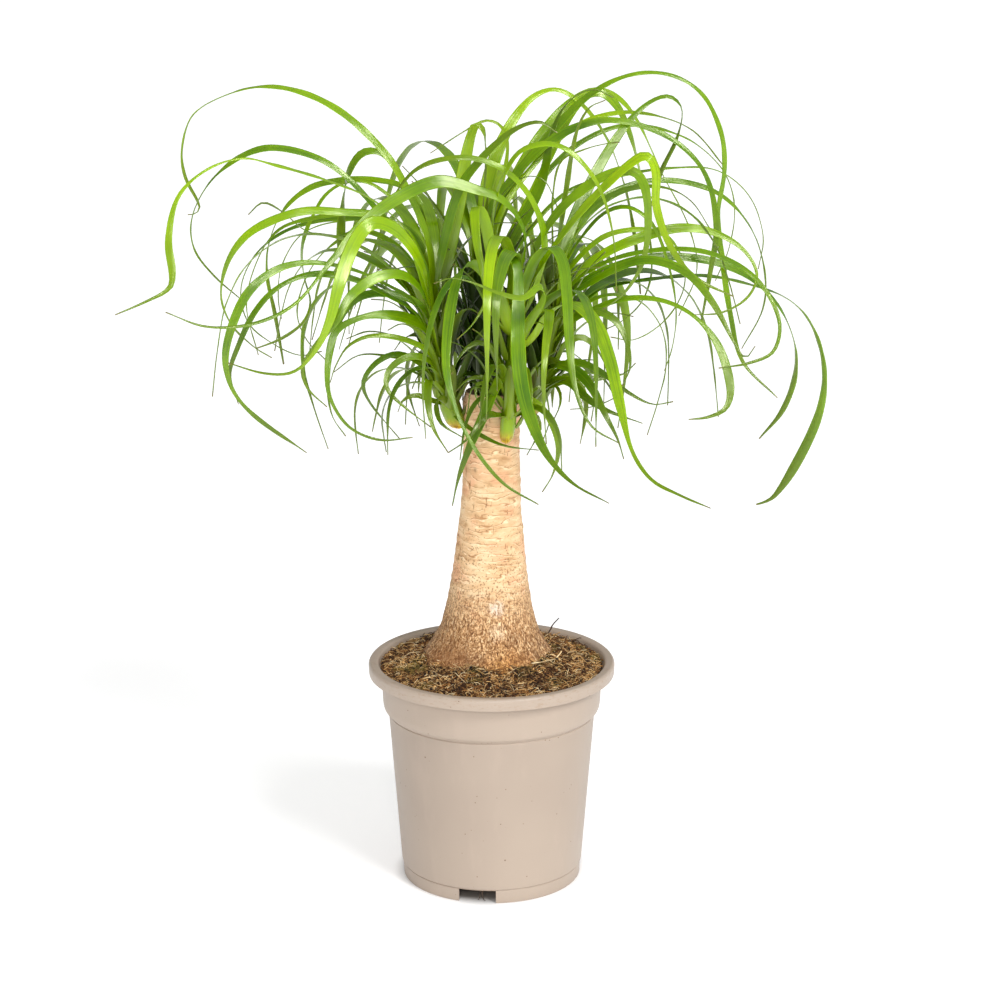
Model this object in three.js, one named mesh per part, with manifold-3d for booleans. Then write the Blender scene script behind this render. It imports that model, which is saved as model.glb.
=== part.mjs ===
// A ponytail palm in a plastic nursery pot: a cut, swollen trunk that carries four leafy shoots.
// Millimetres, +Z up. The origin is on the ground, at the middle of the pot. -Y is the front.
import * as THREE from "three";
import { mergeVertices } from "three/addons/utils/BufferGeometryUtils.js";
import Module from "manifold-3d";

const wasm = await Module();
wasm.setup();

// Driving dimensions.
const GAP = 0.35; // between pieces that touch
const FINEST = 0.03; // no detail is smaller
const WELD = 1e-3; // vertices nearer than this are one
const POT_TOP = 173;
const POT_RIM_R = 95;
const POT_MOUTH_R = 87.6;
const LIP_Z = 164.2; // the lower edge of the rim's turned-down lip
const POT_SIDES = 36;
const FOOT_R = 69.4;
const FOOT_H = 10.8;
const NOTCH_COUNT = 3;
const NOTCH_WIDTH = 29;
const NOTCH_TURN = -98; // degrees, the front notch's direction
const DRAIN_COUNT = 6;
const DRAIN_R = 6;
const DRAIN_CIRCLE_R = 46;
const SOIL_EDGE_Z = 169.5;
const SOIL_MOUND = 12;
const POT_FLOOR_Z = 14.2;
const TRUNK_SIDES = 20;
const LEAN_X = -2.3; // the trunk's foot stands this far left of its top
const LEAN_FROM_Z = 200;
const LEAN_TO_Z = 320;
const STEM_SIDES = 10;

// Leaf routes are read off a front view, from this point, on the upright plane through the trunk.
const EYE = new THREE.Vector3(6.6, -2017, 795);

// Small maths.
const radians = THREE.MathUtils.degToRad;
const mix = THREE.MathUtils.lerp;
const clamp01 = (t) => Math.min(1, Math.max(0, t));
const smooth = (t) => clamp01(t) ** 2 * (3 - 2 * clamp01(t));

// The value at t of the quadratic that is a at 0, b at 1/2 and c at 1.
const through = (a, b, c, t) => a * (1 - t) * (1 - 2 * t) + 4 * b * t * (1 - t) + c * t * (2 * t - 1);

// A seeded source of numbers from 0 to 1.
function dice(seed) {
  let state = seed >>> 0;
  return () => {
    state = (Math.imul(state, 1664525) + 1013904223) >>> 0;
    return state / 4294967296;
  };
}

// Solids.
function solidOf(geometry) {
  const bare = geometry.index ? geometry.clone() : geometry;
  bare.deleteAttribute("normal");
  bare.deleteAttribute("uv");
  const merged = mergeVertices(bare, WELD);
  const triVerts = new Uint32Array(merged.index.array);
  return new wasm.Manifold(
    new wasm.Mesh({ numProp: 3, vertProperties: merged.attributes.position.array, triVerts }),
  );
}

// The main body, without any sealed pocket or crumb.
function largest(solid) {
  return solid.decompose().reduce((a, b) => (a.volume() > b.volume() ? a : b));
}

function geometryOf(solid) {
  const mesh = largest(solid.simplify(FINEST)).getMesh();
  const geometry = new THREE.BufferGeometry();
  geometry.setAttribute("position", new THREE.BufferAttribute(mesh.vertProperties, 3));
  geometry.setIndex(new THREE.BufferAttribute(mesh.triVerts, 1));
  return geometry;
}

// A ring of the same number of points for each station, joined into a closed skin with a fan at each end.
function loftOf(rings) {
  const sides = rings[0].length;
  const position = rings.flat().flatMap((p) => [p.x, p.y, p.z]);
  const index = [];
  for (let i = 0; i + 1 < rings.length; i += 1) {
    for (let j = 0; j < sides; j += 1) {
      const a = i * sides + j;
      const b = i * sides + ((j + 1) % sides);
      index.push(a, b, b + sides, a, b + sides, a + sides);
    }
  }
  const last = (rings.length - 1) * sides;
  for (let j = 1; j + 1 < sides; j += 1) {
    index.push(0, j + 1, j);
    index.push(last, last + j, last + j + 1);
  }
  const geometry = new THREE.BufferGeometry();
  geometry.setAttribute("position", new THREE.Float32BufferAttribute(position, 3));
  geometry.setIndex(index);
  return geometry;
}

function turned(profile, sides) {
  const points = profile.map(([r, z]) => new THREE.Vector2(r, z));
  return new THREE.LatheGeometry(points, sides).rotateX(Math.PI / 2);
}

// The inside of the pot's wall, from the rim down.
const POT_INSIDE = [
  [83.4, 162.6],
  [82.6, 137.5],
  [78.9, 131.5],
  [77.9, 127.5],
  [FOOT_R - 1.4, POT_FLOOR_Z],
];

// The pot, from the middle of its floor's underside, up the outside and down the inside: radius, height.
const POT_PROFILE = [
  [0, 12.2],
  [FOOT_R - 2.6, FOOT_H - 0.6],
  [FOOT_R - 2.4, 0],
  [FOOT_R, 0],
  [FOOT_R + 0.4, FOOT_H],
  [FOOT_R + 1.4, FOOT_H + 0.8],
  [80.2, 129],
  [83.3, 132.8],
  [84.4, 136.6],
  [85.2, 163.4],
  [89.8, 169.8],
  [POT_RIM_R - 2, 170.6],
  [POT_RIM_R - 2.2, LIP_Z],
  [POT_RIM_R, LIP_Z],
  [POT_RIM_R, 170.6],
  [POT_RIM_R - 1.6, POT_TOP],
  [POT_MOUTH_R + 1, POT_TOP],
  [POT_MOUTH_R, POT_TOP - 1.4],
  ...POT_INSIDE,
  [0, POT_FLOOR_Z],
];

function makePot() {
  let pot = solidOf(turned(POT_PROFILE, POT_SIDES));
  for (let i = 0; i < NOTCH_COUNT; i += 1) {
    const notch = new THREE.BoxGeometry(14, NOTCH_WIDTH, 18).translate(FOOT_R, 0, FOOT_H - 9);
    notch.rotateZ(radians(NOTCH_TURN + (360 / NOTCH_COUNT) * i));
    pot = pot.subtract(solidOf(notch));
  }
  for (let i = 0; i < DRAIN_COUNT; i += 1) {
    const drain = new THREE.CylinderGeometry(DRAIN_R, DRAIN_R, 12, 12).rotateX(Math.PI / 2);
    drain.translate(DRAIN_CIRCLE_R, 0, FOOT_H + 2);
    drain.rotateZ((Math.PI * 2 * (i + 0.5)) / DRAIN_COUNT);
    pot = pot.subtract(solidOf(drain));
  }
  return pot;
}

// The trunk's radius at each height, from the foot in the soil to the cut top.
const TRUNK_PROFILE = [
  [30, 118],
  [46, 126],
  [54, 142],
  [56, 158],
  [54.2, 169],
  [50.6, 179],
  [44.2, 188],
  [39.6, 197],
  [36.4, 206],
  [34, 216],
  [31.8, 228],
  [29.6, 241],
  [27.9, 254],
  [26.4, 267],
  [25.4, 279],
  [23.9, 290],
  [23, 303],
  [22.3, 317],
  [21.8, 332],
  [21.4, 347],
  [21.6, 361],
  [22.2, 374],
  [21.6, 384],
  [19.4, 389.5],
];

const leanAt = (z) => LEAN_X * (1 - clamp01((z - LEAN_FROM_Z) / (LEAN_TO_Z - LEAN_FROM_Z)));

// How far the bark stands out: the root flare's buttresses below, faint leaf-scar rings above.
function barkAt(angle, z) {
  const flare = smooth((215 - z) / 60) * (1.5 * Math.sin(3 * angle + 0.6) + 0.9 * Math.sin(7 * angle + 2));
  const rings = 0.45 * Math.sin(z * 0.83 + Math.sin(angle * 2) * 1.1) * smooth((z - 205) / 30);
  return flare + rings;
}

function trunkSolid(grow) {
  const rings = TRUNK_PROFILE.map(([r, z], i) =>
    Array.from({ length: TRUNK_SIDES }, (_, j) => {
      const angle = (Math.PI * 2 * j) / TRUNK_SIDES;
      const reach = r + grow + barkAt(angle, z);
      const end = i === 0 ? -grow : i === TRUNK_PROFILE.length - 1 ? grow : 0;
      return new THREE.Vector3(leanAt(z) + reach * Math.cos(angle), reach * Math.sin(angle), z + end);
    }),
  );
  return solidOf(loftOf(rings));
}

// The soil's surface: level at the pot's wall, mounded to the trunk, and lumpy.
function soilHeight(x, y) {
  const r = Math.hypot(x, y);
  const mound = SOIL_MOUND * (1 - smooth((r - 40) / 46));
  const lumps =
    1.3 * Math.sin(x * 0.19 + 1.7) * Math.cos(y * 0.23 + 0.4) + 0.8 * Math.sin(x * 0.43 + y * 0.37);
  return SOIL_EDGE_Z + mound + lumps * (1 - 0.7 * smooth((r - 72) / 10));
}

const SOIL_RINGS = [54, 63, 72, 79, 86];

function makeSoil() {
  const ringOf = (r, heightOf) =>
    Array.from({ length: POT_SIDES }, (_, j) => {
      const angle = (Math.PI * 2 * j) / POT_SIDES;
      const x = r * Math.cos(angle);
      const y = r * Math.sin(angle);
      return new THREE.Vector3(x, y, heightOf(x, y));
    });
  const rings = [
    ...POT_INSIDE.toReversed().map(([r, z], i) => ringOf(r - GAP, () => (i === 0 ? z + GAP : z))),
    ...SOIL_RINGS.toReversed().map((r) => ringOf(r, soilHeight)),
    ringOf(36, () => SOIL_EDGE_Z + SOIL_MOUND),
  ];
  return solidOf(loftOf(rings)).subtract(trunkSolid(GAP));
}

// The shoots' stems: where each grows out of the trunk, its middle and its top.
const STEMS = {
  front: [[11, -20, 353], [15, -30, 402], [17, -33, 452]],
  left: [[-25, -6, 361], [-37, -8, 404], [-44, -8, 452]],
  right: [[27, 4, 367], [39, 4, 408], [47, 4, 454]],
  back: [[-6, 20, 372], [-8, 31, 412], [-7, 34, 462]],
};
const STEM_R = [7.6, 9.6, 8.6, 8.2, 8.6, 8.2, 5.2];

function stemPoint(head, t) {
  const [a, b, c] = STEMS[head];
  return new THREE.Vector3(...[0, 1, 2].map((k) => through(a[k], b[k], c[k], t)));
}

// Where the next leaf of a stem is rooted: the leaves follow each other round it in a spiral.
const SPIRAL = radians(137.5);
const ROOT_R = 2.3;
const ROOTS_END = 0.95; // of the stem's length
const rooted = {};

function nextRoot(head, from) {
  rooted[head] = (rooted[head] ?? 0) + 1;
  const turn = SPIRAL * rooted[head];
  const root = stemPoint(head, from * ROOTS_END);
  return root.add(new THREE.Vector3(ROOT_R * Math.cos(turn), ROOT_R * Math.sin(turn), 0));
}

function stemSolid(head, grow) {
  const rings = STEM_R.map((r, i) => {
    const t = i / (STEM_R.length - 1);
    const centre = stemPoint(head, t);
    const end = i === 0 ? -grow : i === STEM_R.length - 1 ? grow : 0;
    return Array.from({ length: STEM_SIDES }, (_, j) => {
      const angle = (Math.PI * 2 * j) / STEM_SIDES;
      return new THREE.Vector3(
        centre.x + (r + grow) * Math.cos(angle),
        centre.y + (r + grow) * Math.sin(angle),
        centre.z + end,
      );
    });
  });
  return solidOf(loftOf(rings));
}

// Leaves seen from the front. Each row: width, how far up the stem it grows (0 to 1), depth behind the trunk's
// plane at the middle and at the tip, the roll towards the viewer in degrees at the base, middle and tip, and
// then the route as x, z pairs.
const SEEN = {
  left: [
    [9, 0.95, 10, 50, 10, 20, 40, [-46, 500, -65, 548, -82, 574, -110, 600, -140, 615, -170, 619, -200, 611,
      -221, 597, -229, 572, -227, 552, -218, 533, -218, 526, -226, 524]],
    [10, 0.85, -20, 30, 20, 45, 60, [-52, 490, -80, 522, -106, 551, -130, 567, -163, 574, -188, 566, -210, 547,
      -223, 522, -222, 498, -207, 477, -187, 459]],
    [11, 0.9, -55, -112, 30, 25, 80, [-55, 500, -85, 533, -120, 549, -160, 561, -185, 566, -212, 557, -233, 537,
      -241, 505, -239, 480, -242, 468, -262, 457, -283, 448]],
    [7, 0.8, 40, 60, 30, 50, 50, [-44, 480, -48, 520, -62, 543, -85, 550, -110, 550, -135, 544, -155, 527,
      -166, 503, -168, 478, -163, 450, -157, 410]],
    [10, 0.75, -30, -10, 40, 55, 30, [-50, 470, -62, 505, -85, 523, -112, 526, -137, 527, -160, 521, -182, 509,
      -197, 489, -203, 463, -196, 441, -180, 424, -166, 415]],
    [7, 0.8, 30, 10, 30, 50, 60, [-45, 480, -60, 520, -85, 545, -105, 549, -122, 540, -133, 523, -141, 502,
      -141, 480, -136, 458, -141, 443, -158, 430, -178, 422]],
    [8, 0.6, -60, -50, 20, 55, 40, [-56, 455, -80, 472, -105, 483, -135, 488, -160, 483, -182, 467, -197, 443,
      -204, 415, -199, 392, -180, 370, -141, 341]],
    [6.5, 0.5, -45, -40, 20, 50, 40, [-54, 446, -78, 463, -105, 476, -135, 479, -160, 469, -180, 450, -195, 424,
      -200, 402, -193, 379]],
    [11, 0.7, -85, -70, 20, 60, 50, [-50, 480, -68, 510, -88, 518, -102, 503, -113, 475, -122, 443, -134, 419,
      -150, 404, -172, 403, -199, 411]],
    [9, 0.65, -70, -60, 20, 55, 50, [-50, 462, -65, 478, -85, 477, -105, 463, -117, 443, -133, 424, -143, 407,
      -139, 391, -125, 377]],
    [11, 0.55, -55, -50, 30, 65, 40, [-48, 436, -65, 446, -88, 448, -108, 442, -119, 432, -124, 405, -122, 383,
      -108, 361, -85, 351, -60, 353]],
    [7, 0.6, -40, -35, 30, 50, 40, [-50, 452, -75, 464, -98, 462, -113, 447, -121, 420, -124, 393, -121, 370,
      -111, 354]],
    [11, 1, 20, 25, 20, 50, 60, [-48, 500, -60, 540, -72, 560, -84, 571, -97, 569, -107, 552, -111, 528,
      -112, 500, -108, 478]],
    [9, 0.7, 10, 20, 40, 20, 50, [-46, 470, -52, 500, -68, 516, -92, 516, -115, 508, -138, 512, -155, 526,
      -170, 533, -181, 524]],
    [4.5, 0.7, 40, 50, 20, 40, 40, [-45, 460, -60, 505, -90, 520, -125, 520, -155, 511, -177, 493, -188, 468,
      -183, 442, -165, 426, -145, 417, -128, 420]],
    [5, 0.75, 15, 30, 30, 40, 40, [-44, 465, -62, 510, -95, 525, -130, 522, -158, 513, -175, 490, -184, 455,
      -176, 417]],
    [4, 0.8, 70, 80, 30, 30, 30, [-40, 470, -55, 510, -85, 520, -120, 518, -143, 508, -157, 485, -160, 462,
      -158, 445]],
    [5, 0.7, 60, 80, 30, 40, 30, [-42, 450, -65, 495, -95, 512, -118, 502, -136, 482, -146, 452, -140, 430,
      -124, 412]],
    [5, 0.4, -30, -25, 30, 50, 30, [-46, 418, -65, 429, -90, 432, -108, 424, -118, 408, -122, 396]],
    [5, 0.35, -15, 0, 20, 50, 40, [-48, 405, -68, 418, -86, 412, -97, 396, -92, 380, -70, 352]],
    [6, 0.35, -30, -35, 20, 60, 40, [-46, 412, -62, 416, -77, 406, -79, 391, -65, 376, -46, 361]],
    [3.5, 0.4, 10, 15, 20, 30, 30, [-50, 410, -75, 416, -100, 417, -119, 404]],
    [7, 0.3, -34, -40, 10, 30, 20, [-41, 394, -47, 398, -48, 380, -44, 360, -33, 341]],
    [6, 0.2, -30, -36, 10, 40, 30, [-38, 384, -42, 380, -38, 364, -22, 353]],
    [5, 0.25, -12, -8, 20, 60, 40, [-45, 382, -57, 386, -67, 382, -71, 373]],
    [7, 0.35, -5, 0, 20, 60, 50, [-46, 405, -55, 402, -60, 391]],
    [7, 0.5, 10, 20, 20, 40, 40, [-44, 425, -55, 433, -66, 430, -73, 421]],
    [4, 0.15, -36, -40, 10, 30, 30, [-30, 373, -20, 363, -5, 353, 12, 346, 36, 343]],
    [12, 1, 5, 10, 50, 60, 60, [-35, 480, -24, 535, -17, 575, -11, 591, -5, 585, -4, 560, -6, 530]],
    [9, 0.95, -15, -15, 20, 50, 30, [-38, 490, -25, 540, -8, 565, 15, 586, 35, 593, 49, 585]],
  ],
  front: [
    [12, 0.95, -85, -120, 30, 55, 40, [22, 478, 25, 510, 10, 534, -12, 543, -38, 549, -65, 539, -95, 518,
      -122, 486, -148, 456, -180, 441, -215, 439, -245, 450]],
    [13, 0.9, -125, -150, 0, 0, 0, [2, 470, -12, 487, -22, 483, -29, 462, -34, 425, -33, 398, -24, 367,
      -10, 340, 10, 316, 36, 300]],
    [12, 0.95, -125, -170, 0, 10, 20, [22, 460, 33, 490, 44, 500, 53, 490, 57, 460, 59, 425, 64, 390, 76, 362,
      98, 348]],
    [14, 0.8, -128, -206, 0, 15, 20, [30, 430, 44, 450, 60, 457, 77, 444, 89, 415, 98, 377, 107, 343, 122, 320,
      145, 307, 168, 297]],
    [13, 0.95, -110, -190, 0, 0, 10, [16, 465, 20, 478, 21, 462, 20, 430, 22, 400, 28, 373, 42, 340, 62, 317,
      90, 301]],
    [10, 1, -85, -105, 0, 0, 10, [5, 470, -5, 520, -12, 530, -11, 505, -6, 478, -4, 460, -14, 441, -26, 429]],
    [7, 0.75, -135, -150, 0, 60, 40, [28, 440, 40, 462, 36, 470, 24, 461, 5, 465, -15, 473, -30, 476, -43, 472]],
    [9, 0.5, -48, -40, 0, 20, 20, [10, 402, 3, 392, -6, 370, -16, 347, -25, 322, -30, 299]],
    [6, 0.25, -38, -38, 10, 40, 30, [6, 371, -3, 370, -11, 361, -20, 350, -33, 341]],
    [6, 0.5, -40, -45, 10, 40, 30, [9, 410, 0, 424, -13, 426, -24, 416, -30, 402]],
    [5, 0.45, -30, -30, 10, 30, 30, [8, 402, -2, 414, -12, 421, -23, 414]],
    [5, 0.4, -36, -36, 10, 40, 30, [6, 394, -6, 400, -18, 398, -27, 389]],
    [6, 0.35, -38, -34, 20, 40, 30, [24, 384, 36, 379, 47, 362, 51, 343, 47, 324, 39, 310]],
    [4, 0.2, -34, -34, 20, 40, 30, [24, 372, 34, 370, 37, 360, 33, 350, 27, 339]],
    [6, 0.9, -60, -60, 10, 20, 20, [0, 450, -15, 475, -28, 475, -40, 458, -49, 425, -52, 390, -50, 352]],
    [12, 1, -60, -64, 20, 30, 60, [28, 470, 55, 512, 85, 546, 113, 568, 122, 557, 123, 530, 134, 500, 152, 477,
      182, 462]],
    [12, 1, -40, -44, 20, 30, 50, [26, 480, 45, 520, 75, 548, 103, 557, 114, 545, 117, 515, 113, 487, 100, 465,
      84, 452]],
    [6, 1, -52, -60, 20, 40, 40, [4, 480, 2, 530, 18, 568, 40, 577, 60, 570, 80, 545, 91, 508, 94, 466]],
    [8, 0.95, -60, -55, 20, 50, 30, [30, 460, 40, 500, 32, 532, 12, 556, -12, 566, -38, 565, -58, 556,
      -75, 535]],
  ],
  right: [
    [6, 0.35, -20, -30, 20, 50, 30, [46, 402, 58, 412, 74, 409, 90, 399, 104, 388, 122, 379, 138, 381]],
    [6, 0.3, 0, 10, 20, 50, 30, [46, 394, 62, 399, 80, 399, 93, 401, 101, 403, 109, 411]],
    [8, 0.35, -35, -45, 20, 50, 30, [48, 398, 60, 396, 72, 384, 88, 374, 115, 364]],
    [9, 0.45, -45, -50, 20, 40, 30, [50, 410, 64, 405, 76, 392, 87, 370, 96, 352, 101, 336]],
    [7, 0.4, -10, -12, 20, 50, 30, [38, 408, 46, 413, 56, 408, 62, 398]],
    [6, 0.5, 5, 10, 20, 40, 30, [50, 420, 66, 431, 78, 424, 88, 406, 94, 390]],
    [8, 0.65, -25, -30, 20, 50, 40, [55, 440, 75, 451, 92, 445, 102, 428, 105, 408, 99, 393]],
    [4, 0.35, 25, 5, 20, 30, 30, [50, 400, 75, 404, 95, 398, 98, 388, 86, 380, 72, 376, 60, 375]],
    [10, 0.85, 10, -20, 40, 60, 40, [58, 474, 85, 495, 112, 507, 140, 514, 165, 511, 187, 499, 199, 480,
      193, 462, 174, 450, 152, 448]],
    [9, 0.75, -20, -60, 30, 50, 40, [56, 466, 85, 488, 120, 497, 155, 497, 185, 486, 205, 468, 217, 442,
      213, 420, 195, 411, 172, 407]],
    [9, 0.7, 30, 60, 30, 50, 50, [56, 462, 85, 482, 120, 492, 160, 490, 190, 479, 213, 459, 228, 430, 230, 402,
      221, 374, 204, 352]],
    [13, 0.65, 60, 105, 10, 10, 60, [55, 455, 85, 469, 125, 476, 160, 478, 195, 471, 225, 459, 243, 437,
      252, 405, 249, 372, 234, 335, 216, 306, 203, 300]],
    [10, 0.55, -40, -60, 30, 60, 60, [58, 440, 80, 454, 105, 461, 132, 458, 155, 445, 172, 423, 181, 393,
      178, 376, 165, 369, 150, 367]],
    [9, 0.7, -50, -80, 30, 60, 50, [52, 455, 78, 475, 105, 488, 125, 489, 148, 479, 168, 455, 183, 427,
      192, 415, 199, 424]],
    [5, 0.8, 30, 20, 20, 30, 30, [50, 470, 80, 505, 110, 513, 132, 507, 144, 488, 144, 466, 130, 443, 108, 429,
      90, 431]],
    [4.5, 0.9, 0, -10, 20, 30, 30, [52, 480, 78, 520, 100, 530, 120, 517, 133, 485, 139, 452, 137, 425,
      131, 405]],
    [7, 0.95, 25, 30, 30, 50, 40, [50, 480, 68, 520, 95, 541, 125, 545, 148, 535, 164, 512]],
    [8, 0.9, 50, 70, 30, 50, 40, [52, 490, 75, 530, 105, 547, 140, 549, 172, 538, 195, 512, 205, 480, 204, 452,
      189, 422]],
    [11, 1, 20, 30, 40, 50, 60, [55, 500, 70, 540, 92, 580, 112, 604, 130, 612, 141, 602, 137, 580, 126, 556,
      119, 530]],
    [10, 1, 15, 0, 10, 20, 40, [50, 500, 56, 545, 63, 585, 72, 603, 84, 609]],
  ],
  back: [
    [9, 0.95, 60, 40, 40, 40, 60, [-2, 500, 14, 545, 40, 580, 70, 611, 100, 627, 130, 628, 155, 614, 170, 585,
      173, 556, 169, 525, 173, 490, 180, 448, 190, 412, 217, 384]],
    [11, 0.9, 60, 60, 50, 40, 40, [-8, 490, -3, 545, 10, 583, 28, 609, 47, 617, 66, 607, 85, 582, 98, 550,
      107, 508, 112, 464]],
    [9, 0.95, 75, 60, 40, 40, 40, [5, 520, 22, 560, 42, 590, 62, 609, 80, 615, 94, 603, 104, 580, 112, 548,
      118, 510, 120, 480, 113, 458, 98, 443, 84, 436]],
    [6, 1, 85, 90, 40, 40, 40, [10, 500, 40, 560, 62, 603, 82, 616, 104, 600, 128, 553, 147, 516, 154, 482,
      141, 447]],
    [7, 0.9, 45, 60, 40, 50, 40, [5, 520, 35, 565, 65, 591, 95, 600, 125, 597, 150, 586, 172, 561]],
    [10, 0.85, 45, 30, 40, 50, 50, [-8, 510, 15, 550, 45, 580, 80, 594, 112, 590, 140, 576, 160, 552, 168, 515,
      164, 480, 158, 442]],
    [4, 0.8, 95, 110, 20, 30, 30, [20, 500, 55, 540, 95, 553, 135, 559, 168, 557, 192, 538, 203, 508,
      200, 483]],
    [5, 0.85, 115, 130, 20, 30, 30, [15, 510, 50, 565, 95, 590, 140, 583, 170, 560, 181, 532, 178, 500,
      168, 474]],
    [5, 1, 40, 25, 20, 40, 30, [2, 520, 12, 570, 8, 589, -4, 594, -20, 586, -45, 570]],
    [11, 0.9, 40, 50, 20, 30, 40, [8, 490, 36, 545, 46, 588, 58, 609, 75, 617, 90, 611]],
  ],
};

// Leaves that fill the crown where the front view doesn't show them. Each row: how many, the directions they
// point in, degrees from +X, how far up the stem they grow, and their shortest and longest length.
const FILL = {
  left: [[8, 100, 165, 0.45, 1, 210, 310], [5, 95, 235, 0.1, 0.45, 80, 150]],
  front: [[4, -125, -60, 0.6, 1, 190, 270], [4, -150, -30, 0.15, 0.5, 70, 120]],
  right: [[8, 10, 80, 0.45, 1, 210, 310], [5, -45, 80, 0.1, 0.45, 80, 150]],
  back: [[13, 35, 145, 0.5, 1, 230, 360], [6, 25, 155, 0.1, 0.5, 80, 160]],
};
const FILL_STEPS = 8;

// The point that shows at x, z from the front and lies at that depth.
function seenAt(x, z, depth) {
  const onPlane = new THREE.Vector3(x, 0, z);
  return onPlane.sub(EYE).multiplyScalar((depth - EYE.y) / -EYE.y).add(EYE);
}

// How far apart, front to back, each shoot's leaves are spread from the depths given in the rows.
const SPREAD = { left: 1.3, front: 1, right: 1.35, back: 1.25 };

function seenRoute(head, row) {
  const [width, from, rowMiddle, rowTip, roll0, roll1, roll2, flat] = row;
  const [middle, tip] = [rowMiddle * SPREAD[head], rowTip * SPREAD[head]];
  const base = nextRoot(head, from);
  const flatPoints = [[base.x, base.z]];
  for (let i = 0; i < flat.length; i += 2) flatPoints.push([flat[i], flat[i + 1]]);
  const walked = [0];
  for (let i = 1; i < flatPoints.length; i += 1) {
    const [[x0, z0], [x1, z1]] = [flatPoints[i - 1], flatPoints[i]];
    walked.push(walked[i - 1] + Math.hypot(x1 - x0, z1 - z0));
  }
  const points = flatPoints.map(([x, z], i) =>
    i === 0 ? base : seenAt(x, z, through(base.y, middle, tip, walked[i] / walked.at(-1))),
  );
  return { head, width, rolls: [roll0, roll1, roll2], points };
}

function fillRoute(head, row, share, roll) {
  const [, fromAngle, toAngle, low, high, shortest, longest] = row;
  const from = mix(low, high, roll());
  let heading = mix(fromAngle, toAngle, share) + 14 * (roll() - 0.5);
  const length = mix(shortest, longest, roll());
  const rise = mix(48, 84, from) + 8 * (roll() - 0.5);
  const drop = 62 + 50 * roll();
  const swirl = 60 * (roll() - 0.5);
  const width = longest < 200 ? mix(4.5, 8, roll()) : mix(6.5, 12, roll());
  const rolls = [0, 40 * (roll() - 0.5), 90 * (roll() - 0.5)];
  const points = [nextRoot(head, from)];
  for (let i = 0; i < FILL_STEPS; i += 1) {
    const s = (i + 0.5) / FILL_STEPS;
    const pitch = radians(rise - (rise + drop) * smooth(s * 1.1));
    const turn = radians(heading + swirl * s * s);
    const step = new THREE.Vector3(
      Math.cos(pitch) * Math.cos(turn),
      Math.cos(pitch) * Math.sin(turn),
      Math.sin(pitch),
    );
    points.push(points[i].clone().addScaledVector(step, length / FILL_STEPS));
  }
  return { head, width, rolls, points };
}

// A smooth curve through the points, as evenly spaced samples.
const SPAN_STEPS = 10;

function curveThrough(points, count) {
  const n = points.length;
  const knots = [0];
  for (let i = 1; i < n; i += 1) knots.push(knots[i - 1] + Math.sqrt(points[i].distanceTo(points[i - 1])));
  const tangents = points.map((p, i) => {
    const a = Math.max(0, i - 1);
    const b = Math.min(n - 1, i + 1);
    return points[b].clone().sub(points[a]).divideScalar(knots[b] - knots[a]);
  });
  const dense = [points[0].clone()];
  for (let i = 0; i + 1 < n; i += 1) {
    const span = knots[i + 1] - knots[i];
    for (let k = 1; k <= SPAN_STEPS; k += 1) {
      const t = k / SPAN_STEPS;
      const p = points[i].clone().multiplyScalar((1 + 2 * t) * (1 - t) ** 2);
      p.addScaledVector(tangents[i], span * t * (1 - t) ** 2);
      p.addScaledVector(points[i + 1], t * t * (3 - 2 * t));
      p.addScaledVector(tangents[i + 1], span * t * t * (t - 1));
      dense.push(p);
    }
  }
  const walked = [0];
  for (let i = 1; i < dense.length; i += 1) walked.push(walked[i - 1] + dense[i].distanceTo(dense[i - 1]));
  const samples = [];
  let at = 0;
  for (let i = 0; i <= count; i += 1) {
    const target = (walked.at(-1) * i) / count;
    while (at + 2 < dense.length && walked[at + 1] < target) at += 1;
    const share = (target - walked[at]) / (walked[at + 1] - walked[at]);
    samples.push(dense[at].clone().lerp(dense[at + 1], clamp01(share)));
  }
  return { samples, length: walked.at(-1) };
}

// Where a leaf runs and how it lies: at each sample its point, the way across it and the way its top faces.
const LEAF_SAMPLES = 60;
const LEVELLING = 0.12; // how fast a leaf that has twisted comes back level
const BLADE_WIDTH = 0.87; // of the width given for it

function layLeaf(route) {
  const { samples, length } = curveThrough(route.points, LEAF_SAMPLES);
  const far = samples.reduce((a, b) => {
    const reach = (p) => Math.hypot(p.x - samples[0].x, p.y - samples[0].y);
    return reach(b) > reach(a) ? b : a;
  });
  const out = new THREE.Vector3(far.x - samples[0].x, far.y - samples[0].y, 0).normalize();
  const hand = out.x < 0 ? -1 : 1;
  const level = new THREE.Vector3(-out.y, out.x, 0).multiplyScalar(hand);
  const across = level.clone();
  const [rollAtBase, rollAtMiddle, rollAtTip] = route.rolls;
  const opening = out.y > 0 ? -1 : 1; // the way of rolling that turns a hanging tip's face to the front
  const stations = samples.map((point, i) => {
    const ahead = samples[Math.min(LEAF_SAMPLES, i + 1)];
    const behind = samples[Math.max(0, i - 1)];
    const along = ahead.clone().sub(behind).normalize();
    across.addScaledVector(level, LEVELLING);
    across.addScaledVector(along, -across.dot(along)).normalize();
    const top = along.clone().cross(across).multiplyScalar(hand);
    const s = i / LEAF_SAMPLES;
    const roll = radians(through(rollAtBase, rollAtMiddle, opening * rollAtTip, s));
    const side = across.clone().multiplyScalar(Math.cos(roll)).addScaledVector(top, Math.sin(roll));
    const face = top.clone().multiplyScalar(Math.cos(roll)).addScaledVector(across, -Math.sin(roll));
    const sheath = 1 + 0.25 * (1 - smooth(s / 0.12));
    return { point, side, face, half: Math.max(0.45, (route.width / 2) * BLADE_WIDTH * sheath * (1 - s ** 4) ** 0.9) };
  });
  return { ...route, stations, length, hand };
}

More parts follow.
